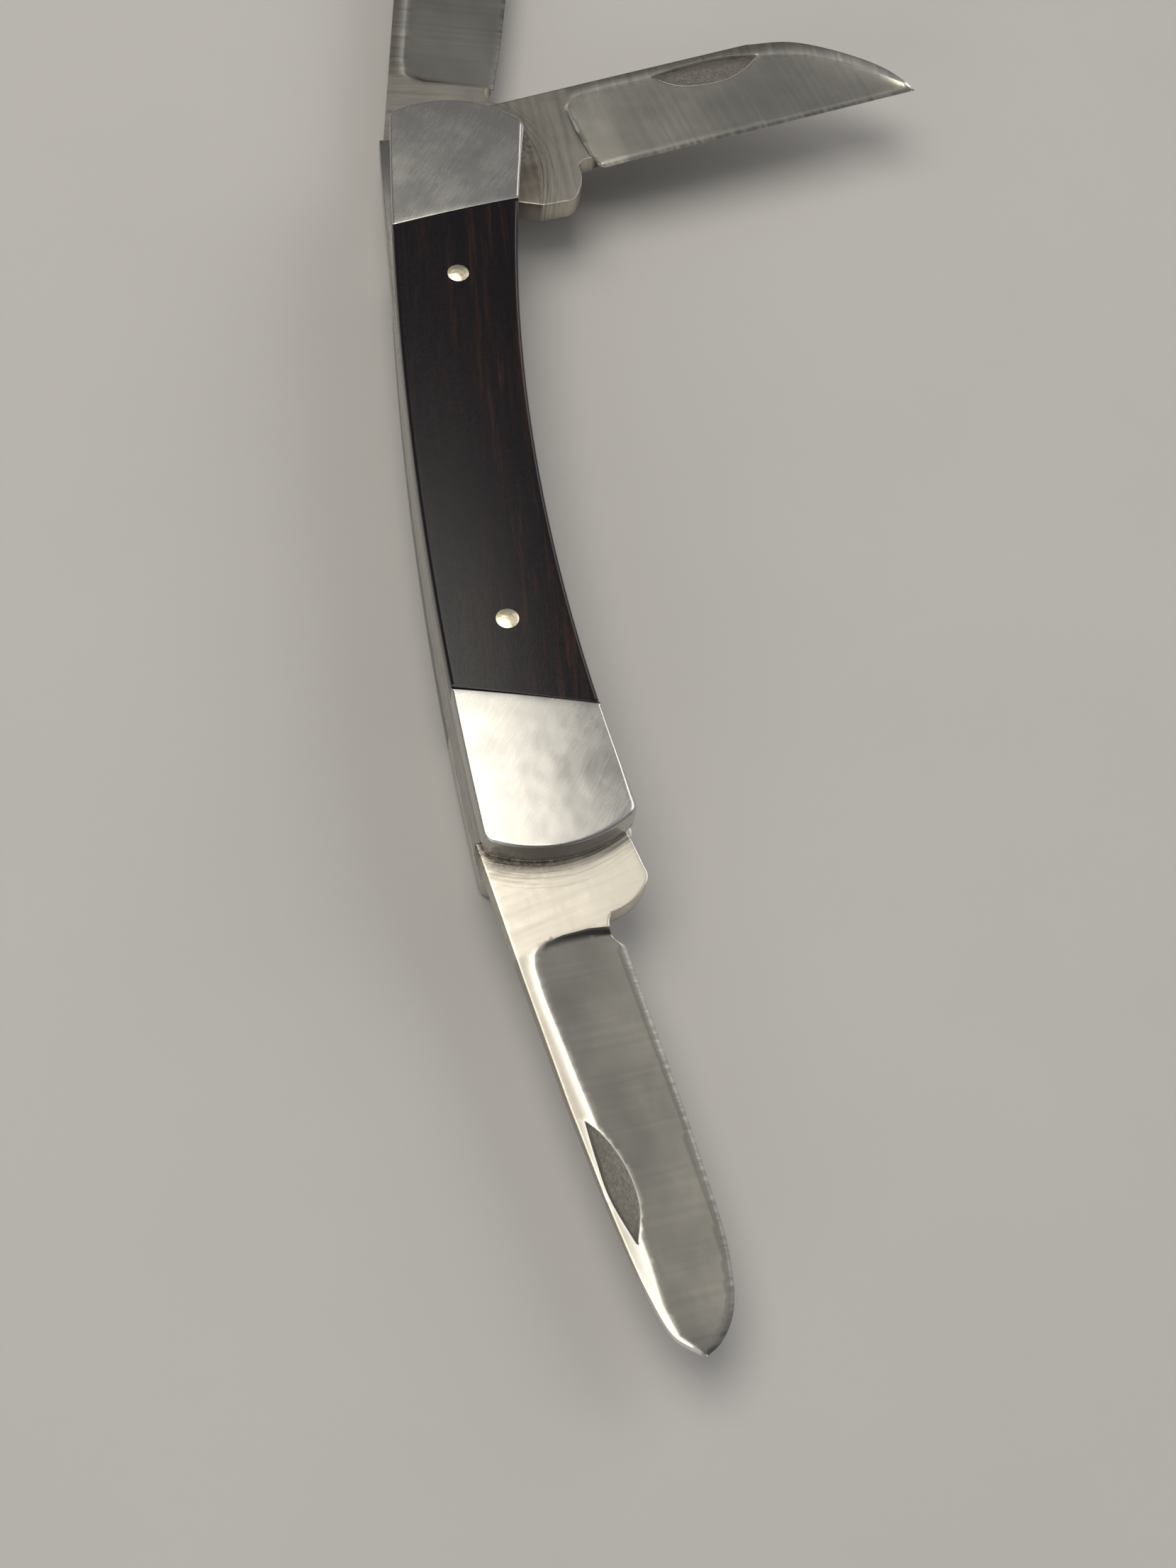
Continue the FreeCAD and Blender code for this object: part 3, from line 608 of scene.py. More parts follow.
# ---- Sizes and colours that a user may change ----
class KnifeSizes(bpy.types.PropertyGroup):
    """Sizes of the knife's finished edges and faces"""
    bolster_rim: FloatProperty(
        name="Bolster rim", description="Radius of the rounded rim round each bolster",
        default=0.00030, min=0.0001, max=0.001, subtype="DISTANCE", unit="LENGTH")
    bolster_dome: FloatProperty(
        name="Bolster dome", description="How far the middle of a bolster's face stands above its rim",
        default=0.00030, min=0.0, max=0.0005, subtype="DISTANCE", unit="LENGTH")
    scale_rim: FloatProperty(
        name="Scale rim", description="Radius of the rounded long edges of a scale",
        default=0.00045, min=0.0001, max=0.001, subtype="DISTANCE", unit="LENGTH")
    seam: FloatProperty(
        name="Seam", description="Gap between a scale and a bolster",
        default=0.00006, min=0.0, max=0.0003, subtype="DISTANCE", unit="LENGTH")
    hollow: FloatProperty(
        name="Hollow", description="How far the ground faces of a blade curve inwards",
        default=0.00009, min=0.0, max=0.0003, subtype="DISTANCE", unit="LENGTH")
    edge_bevel: FloatProperty(
        name="Edge bevel", description="Width of the sharpened bevel along the cutting edge",
        default=0.0006, min=0.0002, max=0.0012, subtype="DISTANCE", unit="LENGTH")
    nick_depth: FloatProperty(
        name="Nail nick depth", description="Depth of the nail nick below the blade's face",
        default=0.0004, min=0.0001, max=0.0006, subtype="DISTANCE", unit="LENGTH")
    pin_crown: FloatProperty(
        name="Pin crown", description="Height of a scale pin's domed head",
        default=0.00018, min=0.0, max=0.0004, subtype="DISTANCE", unit="LENGTH")
    pin_sides: IntProperty(
        name="Pin sides", description="Number of sides round a pin", default=40, min=16, max=96)


class KnifeColours(bpy.types.PropertyGroup):
    """Colours of the knife's finishes"""
    bolster: FloatVectorProperty(
        name="Bolsters", description="Nickel silver of the bolsters", default=(0.615, 0.597, 0.563),
        min=0, max=1, size=3, subtype="COLOR")
    wood_dark: FloatVectorProperty(
        name="Wood", description="Ground colour of the scales", default=(0.0052, 0.0036, 0.0050),
        min=0, max=1, size=3, subtype="COLOR")
    wood_streak: FloatVectorProperty(
        name="Wood streaks", description="Colour of the streaks in the scales", default=(0.050, 0.0175, 0.010),
        min=0, max=1, size=3, subtype="COLOR")
    steel: FloatVectorProperty(
        name="Blade flats", description="Steel of the tangs and the flats of the blades", default=(0.67, 0.625, 0.545),
        min=0, max=1, size=3, subtype="COLOR")
    steel_ground: FloatVectorProperty(
        name="Blade hollows", description="Steel of the ground faces", default=(0.485, 0.462, 0.408),
        min=0, max=1, size=3, subtype="COLOR")
    spring: FloatVectorProperty(
        name="Springs", description="Steel of the two springs", default=(0.50, 0.48, 0.455),
        min=0, max=1, size=3, subtype="COLOR")
    liner: FloatVectorProperty(
        name="Liners", description="Metal of the three liners", default=(0.64, 0.61, 0.56),
        min=0, max=1, size=3, subtype="COLOR")
    pin: FloatVectorProperty(
        name="Pins", description="Metal of the pin heads", default=(1.0, 0.89, 0.64),
        min=0, max=1, size=3, subtype="COLOR")
    board: FloatVectorProperty(
        name="Board", description="Board that the knife lies on", default=(0.556, 0.539, 0.518),
        min=0, max=1, size=3, subtype="COLOR")


def sizes():
    return bpy.context.scene.knife_sizes


def colours():
    return bpy.context.scene.knife_colours


# ---- Handle ----
def at_rest(points):
    return points


def across_middle(points):
    """Mirrored to the spey end."""
    return points * np.array([-1, 1, 1])


def beside_seam(from_seam, rim):
    """Whether the nearest part of the rim is the seam."""
    return from_seam < rim * 1.03 + 0.02


def cover_faces(outer, inner, lower, drop):
    """Lower and upper heights of a cover whose outer face drops from its level."""
    flat = np.full(len(drop), inner)
    return (outer + drop, flat) if lower else (flat, outer - drop)


def make_bolsters():
    s = sizes()
    metal = bolster_finish()
    shift = s.seam / MM / 2
    outline = bolster_outline(shift)
    outline = even(outline + outline[:1], 0.35)[:-1]
    for face, outer, inner, lower in COVERS:
        def heights(p, rim):
            from_seam = np.abs(p[:, 0] - np.array([seam_x(y) for y in p[:, 1]]) - shift)
            from_corner = (p[:, 0] - BELLY_END) ** 2 + (p[:, 1] - BELLY_CORNER_Y) ** 2
            size = (s.bolster_rim / MM) * (1 + 1.1 * np.exp(-from_corner / 16.0))      # rounder at the belly corner
            size = np.where(beside_seam(from_seam, rim), BOLSTER_SEAM_ROUND, size)
            outwards = np.clip(p[:, 0] - BOLSTER_MIDDLE[0], 0, None)
            away = (outwards / BOLSTER_SPREAD[0]) ** 2 + ((p[:, 1] - BOLSTER_MIDDLE[1]) / BOLSTER_SPREAD[1]) ** 2
            drop = quarter(rim, size) + (s.bolster_dome / MM) * np.clip(away, 0, 1.6)
            drop = drop + SEAM_DROOP * np.clip(1 - from_seam / SEAM_DROOP_WIDTH, 0, 1) ** 2
            return cover_faces(outer, inner, lower, drop)
        for end, place, flip in (("main", at_rest, False), ("spey", across_middle, True)):
            piece = plate("%s_%s_bolster_polished" % (face, end), outline, heights, place, 0.4,
                          (0.03, 0.08, 0.14, 0.18, 0.27, 0.36, 0.44, 0.62, 0.9), flip=flip)
            settle(piece, "handle", ["%s_%s_bolster" % (face, end)], metal)


def make_scales():
    s = sizes()
    wood = wood_finish()
    gap = s.seam / MM / 2
    outline = scale_outline(gap)
    outline = even(outline + outline[:1], 0.4)[:-1]
    holes = [circle(side * SCALE_PIN_X, SCALE_PIN_Y, SCALE_HOLE) for side in (-1, 1)]
    for face, outer, inner, lower in COVERS:
        def heights(p, rim):
            from_seam = np.array([seam_x(y) for y in p[:, 1]]) - gap - np.abs(p[:, 0])
            size = np.where(beside_seam(from_seam, rim), SCALE_SEAM_ROUND, s.scale_rim / MM)
            across = (p[:, 1] - SCALE_CROWN_Y) / SCALE_CROWN_REACH
            drop = quarter(rim, size) + SCALE_CROWN * across ** 2 + SCALE_BELOW_BOLSTER
            return cover_faces(outer, inner, lower, drop)
        piece = plate(face + "_scale_wood", outline, heights, at_rest, 0.5,
                      (0.03, 0.08, 0.16, 0.28, 0.4, 0.48, 0.75), holes=holes)
        settle(piece, "handle", [face + "_scale"], wood)


def make_liners_and_springs():
    """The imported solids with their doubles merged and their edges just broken."""
    liner = ("liner_steel", edge_metal_finish("liner_edges", colours().liner), 0.06)
    spring = ("spring_steel", edge_metal_finish("spring_edges", colours().spring), 0.10)
    for node, (slot, finish, size) in (("back_liner", liner), ("centre_liner", liner), ("front_liner", liner),
                                       ("lower_spring", spring), ("upper_spring", spring)):
        bm = bmesh.new()
        bm.from_mesh(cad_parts[node].data)
        bmesh.ops.remove_doubles(bm, verts=bm.verts, dist=2e-6)
        bmesh.ops.dissolve_limit(bm, angle_limit=math.radians(0.3), verts=bm.verts, edges=bm.edges)
        corners = [e for e in bm.edges if len(e.link_faces) == 2 and e.calc_face_angle(0) > math.radians(40)]
        bmesh.ops.bevel(bm, geom=corners, offset=size * MM, segments=2, profile=0.5, affect="EDGES",
                        clamp_overlap=True)
        mesh = bpy.data.meshes.new(node + "_finished")
        bm.to_mesh(mesh)
        bm.free()
        settle(finished(node + "_finished", mesh, 30), "handle", [node], finish)


# ---- Blades ----
def up_in_blade(angle):
    """The handle's upward direction, in the lines of a blade that stands at that angle."""
    a = math.radians(angle)
    return np.array([math.sin(a), math.cos(a)])


def tang_outline(open_angle, closed_angle, cam_radius):
    """From the foot, round the back of the tang, to the top, the spring's end and the shoulder."""
    up, down = up_in_blade(open_angle), up_in_blade(closed_angle)
    towards = np.array([-down[1], down[0]])
    foot_end = down * TANG_RADIUS + towards * 4.1
    along = np.array([up[1], -up[0]])
    corner = up * TANG_RADIUS + along * (HALF - SPRING_END_SETBACK + SPRING_GAP - PIVOT_X)
    shoulder = corner + up * (SPINE_Y - corner[1]) / up[1]
    a0 = math.atan2(*(down * TANG_RADIUS)[::-1])
    a1 = math.atan2(*(up * TANG_RADIUS)[::-1])
    around = []
    for k in range(49):
        a = a0 - ((a0 - a1) % math.tau) * k / 48
        turned = a + math.radians(open_angle)
        flat_r = TANG_RADIUS / max(abs(math.cos(turned)), abs(math.sin(turned)))
        r = TANG_RADIUS if cam_radius <= TANG_RADIUS else min(cam_radius, flat_r)
        around.append((r * math.cos(a), r * math.sin(a)))
    return [tuple(foot_end)] + around + [tuple(corner), tuple(shoulder)]


def kick_line(plunge, kick_y, edge_y):
    """From the edge's heel round the notch and the waist to the kick."""
    notch, kick = plunge - 0.7, plunge - 5.4
    waist = (kick_y + edge_y) / 2
    line = [(plunge + 0.8, edge_y + 0.6)]
    line += arc(line[-1], (notch, edge_y + 1.0), (notch - 1.0, edge_y + 0.4), 10)[1:]
    line += arc(line[-1], (notch - 1.7, waist), (kick + 1.9, kick_y + 0.7), 12)[1:]
    line += arc(line[-1], (kick + 1.2, kick_y + 0.1), (kick, kick_y), 6)[1:]
    return line + [(kick - 2.6, kick_y + 0.25)]


def column(line, k):
    return [q[k] for q in line]


def make_blade(body, steel, pivot_side, layer_z, angles, cam, spine, edge, kick, stock, grind, plunge, nick, soft):
    """One blade from its own lines, in millimetres from its pivot: x to the tip, y to the spine.

    angles are its turns at rest, fully open and closed, and soft is the roundness of its other corners.
    """
    s = sizes()
    rest, open_angle, closed_angle = angles
    outline = tang_outline(open_angle, closed_angle, cam) + spine + edge[1:] + kick
    outline = even(outline + [outline[0]], 0.3)[:-1]
    edge_line = np.array(even(edge, 0.3))
    order = np.argsort(edge_line[:, 0])
    edge_x, edge_y = edge_line[order, 0], edge_line[order, 1]
    low, high = stock
    crescent, floor_side = nick["spine_side"], nick["edge_side"]
    nick_x0, nick_x1 = crescent[0][0], crescent[-1][0]
    bevel_width = s.edge_bevel / MM

    def grind_at(x):
        return np.interp(x, column(grind, 0), column(grind, 1))

    def from_plunge(x, y):
        return x - np.interp(y, column(plunge, 1), column(plunge, 0))

    def nick_sides(x):
        """Where the nick lies along the blade, and its borders to the spine and to the edge there."""
        return ((x > nick_x0) & (x < nick_x1), np.interp(x, column(crescent, 0), column(crescent, 1)),
                np.interp(x, column(floor_side, 0), column(floor_side, 1)))

    def ground_share(x, y):
        """How far down the ground face a point lies, from 0 at its top to 1 at the edge, and past the plunge."""
        top = grind_at(x)
        share = np.clip((top - y) / np.maximum(top - np.interp(x, edge_x, edge_y), 0.3), 0, 1)
        return share, np.clip(from_plunge(x, y) / PLUNGE_WIDTH, 0, 1)

    def nick_share(x, y):
        """How far inside the nick a point lies, and how deep."""
        along, top, foot = nick_sides(x)
        within = np.clip(np.where(along, np.minimum(top - y, y - foot), 0), 0, None)
        deep = np.clip((y - foot) / np.maximum(top - foot, 0.05), 0, 1) * np.clip(within / NICK_FLOOR_RAMP, 0, 1)
        return np.clip(within / NICK_WALL, 0, 1), deep

    def heights(p, rim):
        x, y = p[:, 0], p[:, 1]
        bottom, top = np.interp(x, *low), np.interp(x, *high)
        share, near = ground_share(x, y)
        cut = (1 - (1 - near) ** 2) * step_up(share, 0.0, 0.06)
        to_edge = to_line(p, edge_line, False)
        half = (top - bottom) / 2
        lean = half - EDGE_HALF
        sag = (s.hollow / MM) * np.clip(lean / 0.7, 0.3, 1.2)
        fall = cut * np.clip(lean * share + sag * 4 * share * (1 - share), 0, half - 0.10)
        bevel = np.clip(1 - to_edge / bevel_width, 0, 1) * np.clip(half - BEVEL_HALF - fall, 0, BEVEL_FALL)
        fall = fall + near * bevel
        fall = np.minimum(fall + quarter(rim, soft) * step_up(to_edge, 0.15, 0.6), half - 0.025)
        to_tip = np.hypot(x - edge[0][0], y - edge[0][1])
        fall = np.maximum(fall, np.clip(1 - to_tip / TIP_TAPER, 0, 1) * (half - TIP_HALF))
        sunk = (s.nick_depth / MM) * nick_share(x, y)[1] ** 0.8
        upper = top - fall - (sunk if nick["face"] > 0 else 0)
        lower = bottom + fall + (sunk if nick["face"] < 0 else 0)
        return lower, np.maximum(upper, lower + 0.04)

    def marks(p, side):
        """Where the finish changes, and where light and shade are painted: what the blade's material reads."""
        x, y = p[:, 0], p[:, 1]
        share, near = ground_share(x, y)
        along, top, foot = nick_sides(x)
        by_nick = along & (side == nick["face"])
        within = nick_share(x, y)[0] * (side == nick["face"])
        # Painted highlight: a pale band on the brow, where the flat rolls over into the hollow, and round the nick.
        over = y - grind_at(x)
        broad = np.interp(x, [edge[0][0] - 16, edge[0][0] - 6], [0.55, 1.4])
        brow_highlight = np.where(over > 0, np.exp(-(over / broad) ** 2), np.exp(-(over / 0.16) ** 2))
        brow_highlight = np.maximum(brow_highlight, by_nick * np.exp(-((foot - y) / 0.30) ** 2))
        brow_highlight = np.maximum(brow_highlight, by_nick * 0.6 * np.exp(-((y - top) / 0.25) ** 2))
        # Painted shade: a dark band just past the plunge, and one along the nick's wall on the spine side.
        shade = np.exp(-((from_plunge(x, y) - 0.30) / 0.26) ** 2) * step_up(share, 0.04, 0.08)
        nick_wall_shade = within * np.exp(-((top - y) / 0.34) ** 2)
        # The handle's end, as the open blade's own lines see it: the steel is darker, in patches, just outside it.
        cos, sin = math.cos(math.radians(open_angle)), math.sin(math.radians(open_angle))
        out, up = x * cos - y * sin, y * cos + x * sin
        past = out - (HALF - PIVOT_X) + ((up + PIVOT_Y - END_CREST_Y) ** 2) / END_SWEEP
        darker_by_end = np.exp(-np.clip(past, 0, None) / 0.9) * (past < 5) * step_up(up, -6.0, 10.0)
        bevelled = near * np.clip((bevel_width - to_line(p, edge_line, False)) / 0.2, 0, 1)
        return {"ground": near * step_up(share, 0.0, 0.10), "nick": within, "bevel": bevelled, "by_handle_end": darker_by_end,
                "brow_highlight": brow_highlight * near * (1 - within), "strip": near, "shade": np.maximum(shade, nick_wall_shade),
                "past": np.clip(past, 0, 10)}

    a = math.radians(rest)
    turn = np.array([[math.cos(a), -math.sin(a), 0], [math.sin(a), math.cos(a), 0], [0, 0, 1]])
    shift = np.array([PIVOT_X, PIVOT_Y, layer_z])

    def place(local):
        return (local @ turn.T + shift) * np.array([pivot_side, 1, 1])

    start = max(np.interp(grind[0][1], column(plunge, 1), column(plunge, 0)), grind[0][0])
    run = [q for q in grind if q[0] >= start]
    creases = [crescent, floor_side]
    creases += [[(x, y + d) for x, y in line] for line, d in (
        (crescent[1:-1], -0.14), (crescent[1:-1], -0.42), (floor_side[1:-1], 0.14), (crescent, 0.2),
        (run, 0.0), (run, -0.14), (run, 0.14))]
    creases += [[(x + d, y) for x, y in plunge] for d in (0.0, 0.2, 0.45, 0.9)]
    piece = plate(body + "_ground", outline, heights, place, 0.42, (0.05, 0.13, 0.26, bevel_width), creases,
                  [circle(0, 0, TANG_BORE)], flip=pivot_side < 0, marks=marks)
    settle(piece, body, [body], steel)


# Each blade's two gains in blade_finish paint its steel lighter or darker for how the light falls on that blade.
def make_spey_blade():
    make_blade(
        "spey_blade", blade_finish("spey_steel", 3, 1.04, 0.93), -1, UPPER_LAYER_Z,
        (-11.0, -11.0, -185.5), TANG_RADIUS,
        spine=smooth([(33.6, 9.5), (45.6, 9.0), (53.0, 8.3), (57.2, 7.3), (59.6, 5.1)], 10),
        edge=smooth([(59.6, 5.1), (58.7, 3.3), (56.4, 1.3), (51.4, -0.2), (41.6, -0.9), (19.0, -1.3)], 12),
        kick=kick_line(17.4, -5.6, -1.3),
        stock=(([-6, 60], [0.05, 0.05]), ([-6, 9.0, 11.0, 20.0, 59.6], [STOCK, STOCK, 2.62, 1.88, 0.85])),
        grind=[(17.2, 7.3), (17.9, 7.9), (19.0, 8.2), (22, 8.3), (27, 8.1), (35, 7.7), (42, 7.3), (50, 7.2),
               (54, 7.4), (57.2, 6.9), (59.5, 5.0)],
        plunge=[(17.6, -1.6), (17.0, -0.4), (16.6, 1.9), (16.6, 4.5), (16.8, 6.2), (17.2, 7.3)],
        nick={"spine_side": smooth([(35.0, 8.55), (39.0, 8.75), (43.0, 8.75), (48.4, 7.7)], 8),
              "edge_side": smooth([(35.0, 8.55), (37.0, 7.3), (40.6, 6.2), (44.4, 6.2), (48.4, 7.7)], 8),
              "face": 1},
        soft=0.16)


def make_sheepsfoot_blade():
    make_blade(
        "sheepsfoot_blade", blade_finish("sheepsfoot_steel", 7, 0.76, 1.22), 1, UPPER_LAYER_Z,
        (-75.5, -8.0, -179.0), 6.0,
        spine=smooth([(40.5, 9.8), (46.0, 8.6), (51.5, 5.0), (55.5, 0.8), (57.5, -3.2)], 10),
        edge=[(57.5, -3.2), (16.8, -2.8)],
        kick=kick_line(15.2, -7.2, -2.8),
        stock=(([-6, 9.0, 11.0, 20.0, 57.5], [0.05, 0.05, 0.18, 0.92, 1.9]), ([-6, 60], [STOCK, STOCK])),
        grind=[(16.2, 7.9), (18, 8.3), (22, 8.4), (30, 8.3), (38, 8.1), (43, 7.4), (47, 6.1), (51, 3.6),
               (54.4, 0.4), (57.3, -3.0)],
        plunge=[(15.9, -3.2), (15.2, -1.0), (15.0, 3.0), (15.2, 6.5), (16.2, 7.9)],
        nick={"spine_side": smooth([(27.0, 8.4), (31.0, 8.75), (37.0, 8.7), (41.4, 7.8)], 8),
              "edge_side": smooth([(27.0, 8.4), (30.0, 6.0), (35.4, 5.2), (39.0, 6.2), (41.4, 7.8)], 8),
              "face": 1},
        soft=0.12)


def make_main_blade():
    length = 73.0
    clip = arc((length * 0.62, 9.5), (length * 0.82, 6.8), (length, 3.0), 24)
    along = [-6, 9.6, 20.0, length]
    make_blade(
        "main_blade", blade_finish("main_steel", -5, 0.84, 1.16), 1, LOWER_LAYER_Z,
        (-8.0, -8.0, -181.5), TANG_RADIUS,
        spine=[(length * 0.62, 9.5)] + clip[1:],
        edge=smooth([(length, 3.0), (length - 9, -1.4), (length - 20, -3.9), (length - 31, -4.5), (27.4, -3.9),
                     (19.0, -3.2)], 12),
        kick=kick_line(17.4, -5.6, -3.2),
        stock=((along, [0.05, 0.05, 0.2, 0.8]), (along, [STOCK, STOCK, 2.6, 2.0])),
        grind=[(18.8, 7.0), (19.6, 7.8), (22, 8.1), (30, 8.0), (44, 7.7), (52, 6.6), (60, 5.2), (68, 4.0), (72.8, 3.1)],
        plunge=[(18.0, -3.6), (18.2, -1.0), (18.3, 2.0), (18.4, 5.1), (18.8, 7.0)],
        nick={"spine_side": smooth([(42.0, 8.2), (46.0, 8.6), (50.0, 8.2), (54.0, 7.0)], 6),
              "edge_side": smooth([(42.0, 8.2), (46.0, 6.8), (50.0, 6.4), (54.0, 7.0)], 6),
              "face": -1},
        soft=0.12)


# ---- Pins ----
PIN_INPUTS = (("Radius", 0.001), ("Bottom", 0.0), ("Top", 0.001), ("Crown", 0.0), ("Unevenness", 0.0), ("Sides", 32))
NEAR_TOP = 0.49                               # above this share of its length, a point is on the pin's top
DENTS = 900.0                                 # how close the unevenness of a head lies


def pin_tree(metal):
    """Round pins at each given point, their tops domed and slightly uneven."""
    tree = bpy.data.node_groups.new("pins", "GeometryNodeTree")
    tree.interface.new_socket("Geometry", in_out="INPUT", socket_type="NodeSocketGeometry")
    found = {}
    for name, value in PIN_INPUTS:
        kind = "NodeSocketInt" if name == "Sides" else "NodeSocketFloat"
        socket = tree.interface.new_socket(name, in_out="INPUT", socket_type=kind)
        socket.default_value = value
        found[name] = socket.identifier
    tree.interface.new_socket("Geometry", in_out="OUTPUT", socket_type="NodeSocketGeometry")
    g = Nodes(tree)
    given = g.add("NodeGroupInput").outputs
    length = g.maths("SUBTRACT", given["Top"], given["Bottom"])
    pin = g.add("GeometryNodeMeshCylinder", {
        "Vertices": given["Sides"], "Side Segments": 2, "Fill Segments": 8, "Radius": given["Radius"],
        "Depth": length})
    place = g.add("GeometryNodeInputPosition").outputs[0]
    x, y, z = g.add("ShaderNodeSeparateXYZ", {0: place}).outputs
    outwards = g.maths("ADD", g.times(x, x), g.times(y, y))
    share = g.maths("DIVIDE", outwards, g.times(given["Radius"], given["Radius"]))
    on_top = g.maths("GREATER_THAN", z, g.times(length, NEAR_TOP))
    dents = g.add("ShaderNodeTexNoise", {"Vector": place, "Scale": DENTS, "Detail": 1.0}).outputs["Fac"]
    rise = g.times(given["Crown"], g.maths("SUBTRACT", 1.0, share))
    rough = g.times(given["Unevenness"], g.maths("SUBTRACT", dents, 0.5))
    lift = g.add("ShaderNodeCombineXYZ", {2: g.times(on_top, g.maths("ADD", rise, rough))})
    domed = g.add("GeometryNodeSetPosition", {"Geometry": pin.outputs["Mesh"], "Offset": lift.outputs[0]})
    copies = g.add("GeometryNodeInstanceOnPoints", {"Points": given["Geometry"], "Instance": domed.outputs[0]})
    real = g.add("GeometryNodeRealizeInstances", {0: copies.outputs[0]})
    coat = g.add("GeometryNodeSetMaterial", {"Geometry": real.outputs[0], "Material": metal})
    g.add("NodeGroupOutput", {0: coat.outputs[0]})
    return tree, found


def pin_row(tree, found, name, spots, bottom, top, radius, crown, uneven, nodes, metal):
    """One mesh of like pins, standing at the spots."""
    middle = (bottom + top) / 2
    seed = bpy.data.meshes.new(name)
    seed.from_pydata([(x * MM, y * MM, middle * MM) for x, y in spots], [], [])
    holder = bpy.data.objects.new(name, seed)
    bpy.context.scene.collection.objects.link(holder)
    modifier = holder.modifiers.new("pins", "NODES")
    modifier.node_group = tree
    values = {"Radius": radius * MM, "Bottom": bottom * MM, "Top": top * MM, "Crown": crown * MM,
              "Unevenness": uneven * MM, "Sides": sizes().pin_sides}
    for key, value in values.items():
        modifier[found[key]] = value
    bpy.context.view_layer.update()
    baked = bpy.data.meshes.new_from_object(holder.evaluated_get(bpy.context.evaluated_depsgraph_get()))
    bpy.data.objects.remove(holder)
    baked.name = name
    settle(finished(name, baked, 40), "handle", nodes, metal)


def make_pins():
    heads = pin_finish()
    steel = edge_metal_finish("pivot_steel", colours().spring)
    tree, found = pin_tree(heads)
    ends = [(side * SCALE_PIN_X, SCALE_PIN_Y) for side in (-1, 1)]
    pivots = [(side * PIVOT_X, PIVOT_Y) for side in (-1, 1)]
    crown = sizes().pin_crown / MM
    for name, spots, bottom, top, radius, crown, uneven, nodes, metal in (
            ("front_scale_pins", ends, TOP_COVER_Z - PIN_IN_LINER, TOP_Z - SCALE_BELOW_BOLSTER, SCALE_PIN_RADIUS,
             crown, PIN_UNEVENNESS, ["front_scale_pin_main", "front_scale_pin_spey"], heads),
            ("back_scale_pins", ends, 0.0, LOWER_LAYER_Z, SCALE_PIN_RADIUS, 0.0, 0.0,
             ["back_scale_pin_main", "back_scale_pin_spey"], heads),
            ("pivot_pins", pivots, PIVOT_SUNK, TOP_Z - PIVOT_SUNK, PIVOT_RADIUS, 0.0, 0.0,
             ["main_pivot_pin", "spey_pivot_pin"], steel),
            ("spring_rivets", [(RIVET_X, RIVET_Y)], BOTTOM_LINER_Z, TOP_COVER_Z, RIVET_RADIUS, 0.0, 0.0,
             ["spring_rivet"], steel)):
        pin_row(tree, found, name, spots, bottom, top, radius, crown, uneven, nodes, metal)


# ---- Stage ----
def softbox(name, place, aim, wide, tall, power, tint):
    """A soft studio light that faces the point it is aimed at."""
    light = bpy.data.lights.new(name, "AREA")
    light.shape, light.size, light.size_y = "RECTANGLE", wide, tall
    light.energy, light.color = power, tint
    lamp = bpy.data.objects.new(name, light)
    lamp.location = place
    lamp.rotation_euler = (Vector(aim) - Vector(place)).to_track_quat("-Z", "Y").to_euler()
    bpy.context.scene.collection.objects.link(lamp)


# How light the room is along the handle's direction, from behind the spey end to beyond the main end.
ROOM = ((0.10, 0.13), (0.38, 0.30), (0.62, 0.30), (0.84, 0.17))
BOARD_HALF, BOARD_Z = 3, -0.0001
CAMERA_PLACE = (-0.160534, 0.029114, 0.221872)
CAMERA_RIGHT, CAMERA_UP = (-0.13473, -0.98763, 0.08023), (0.86460, -0.07762, 0.49643)
CAMERA_BACK = (-0.48406, 0.13625, 0.86436)
SENSOR_WIDTH, LENS = 36.0, 56.18


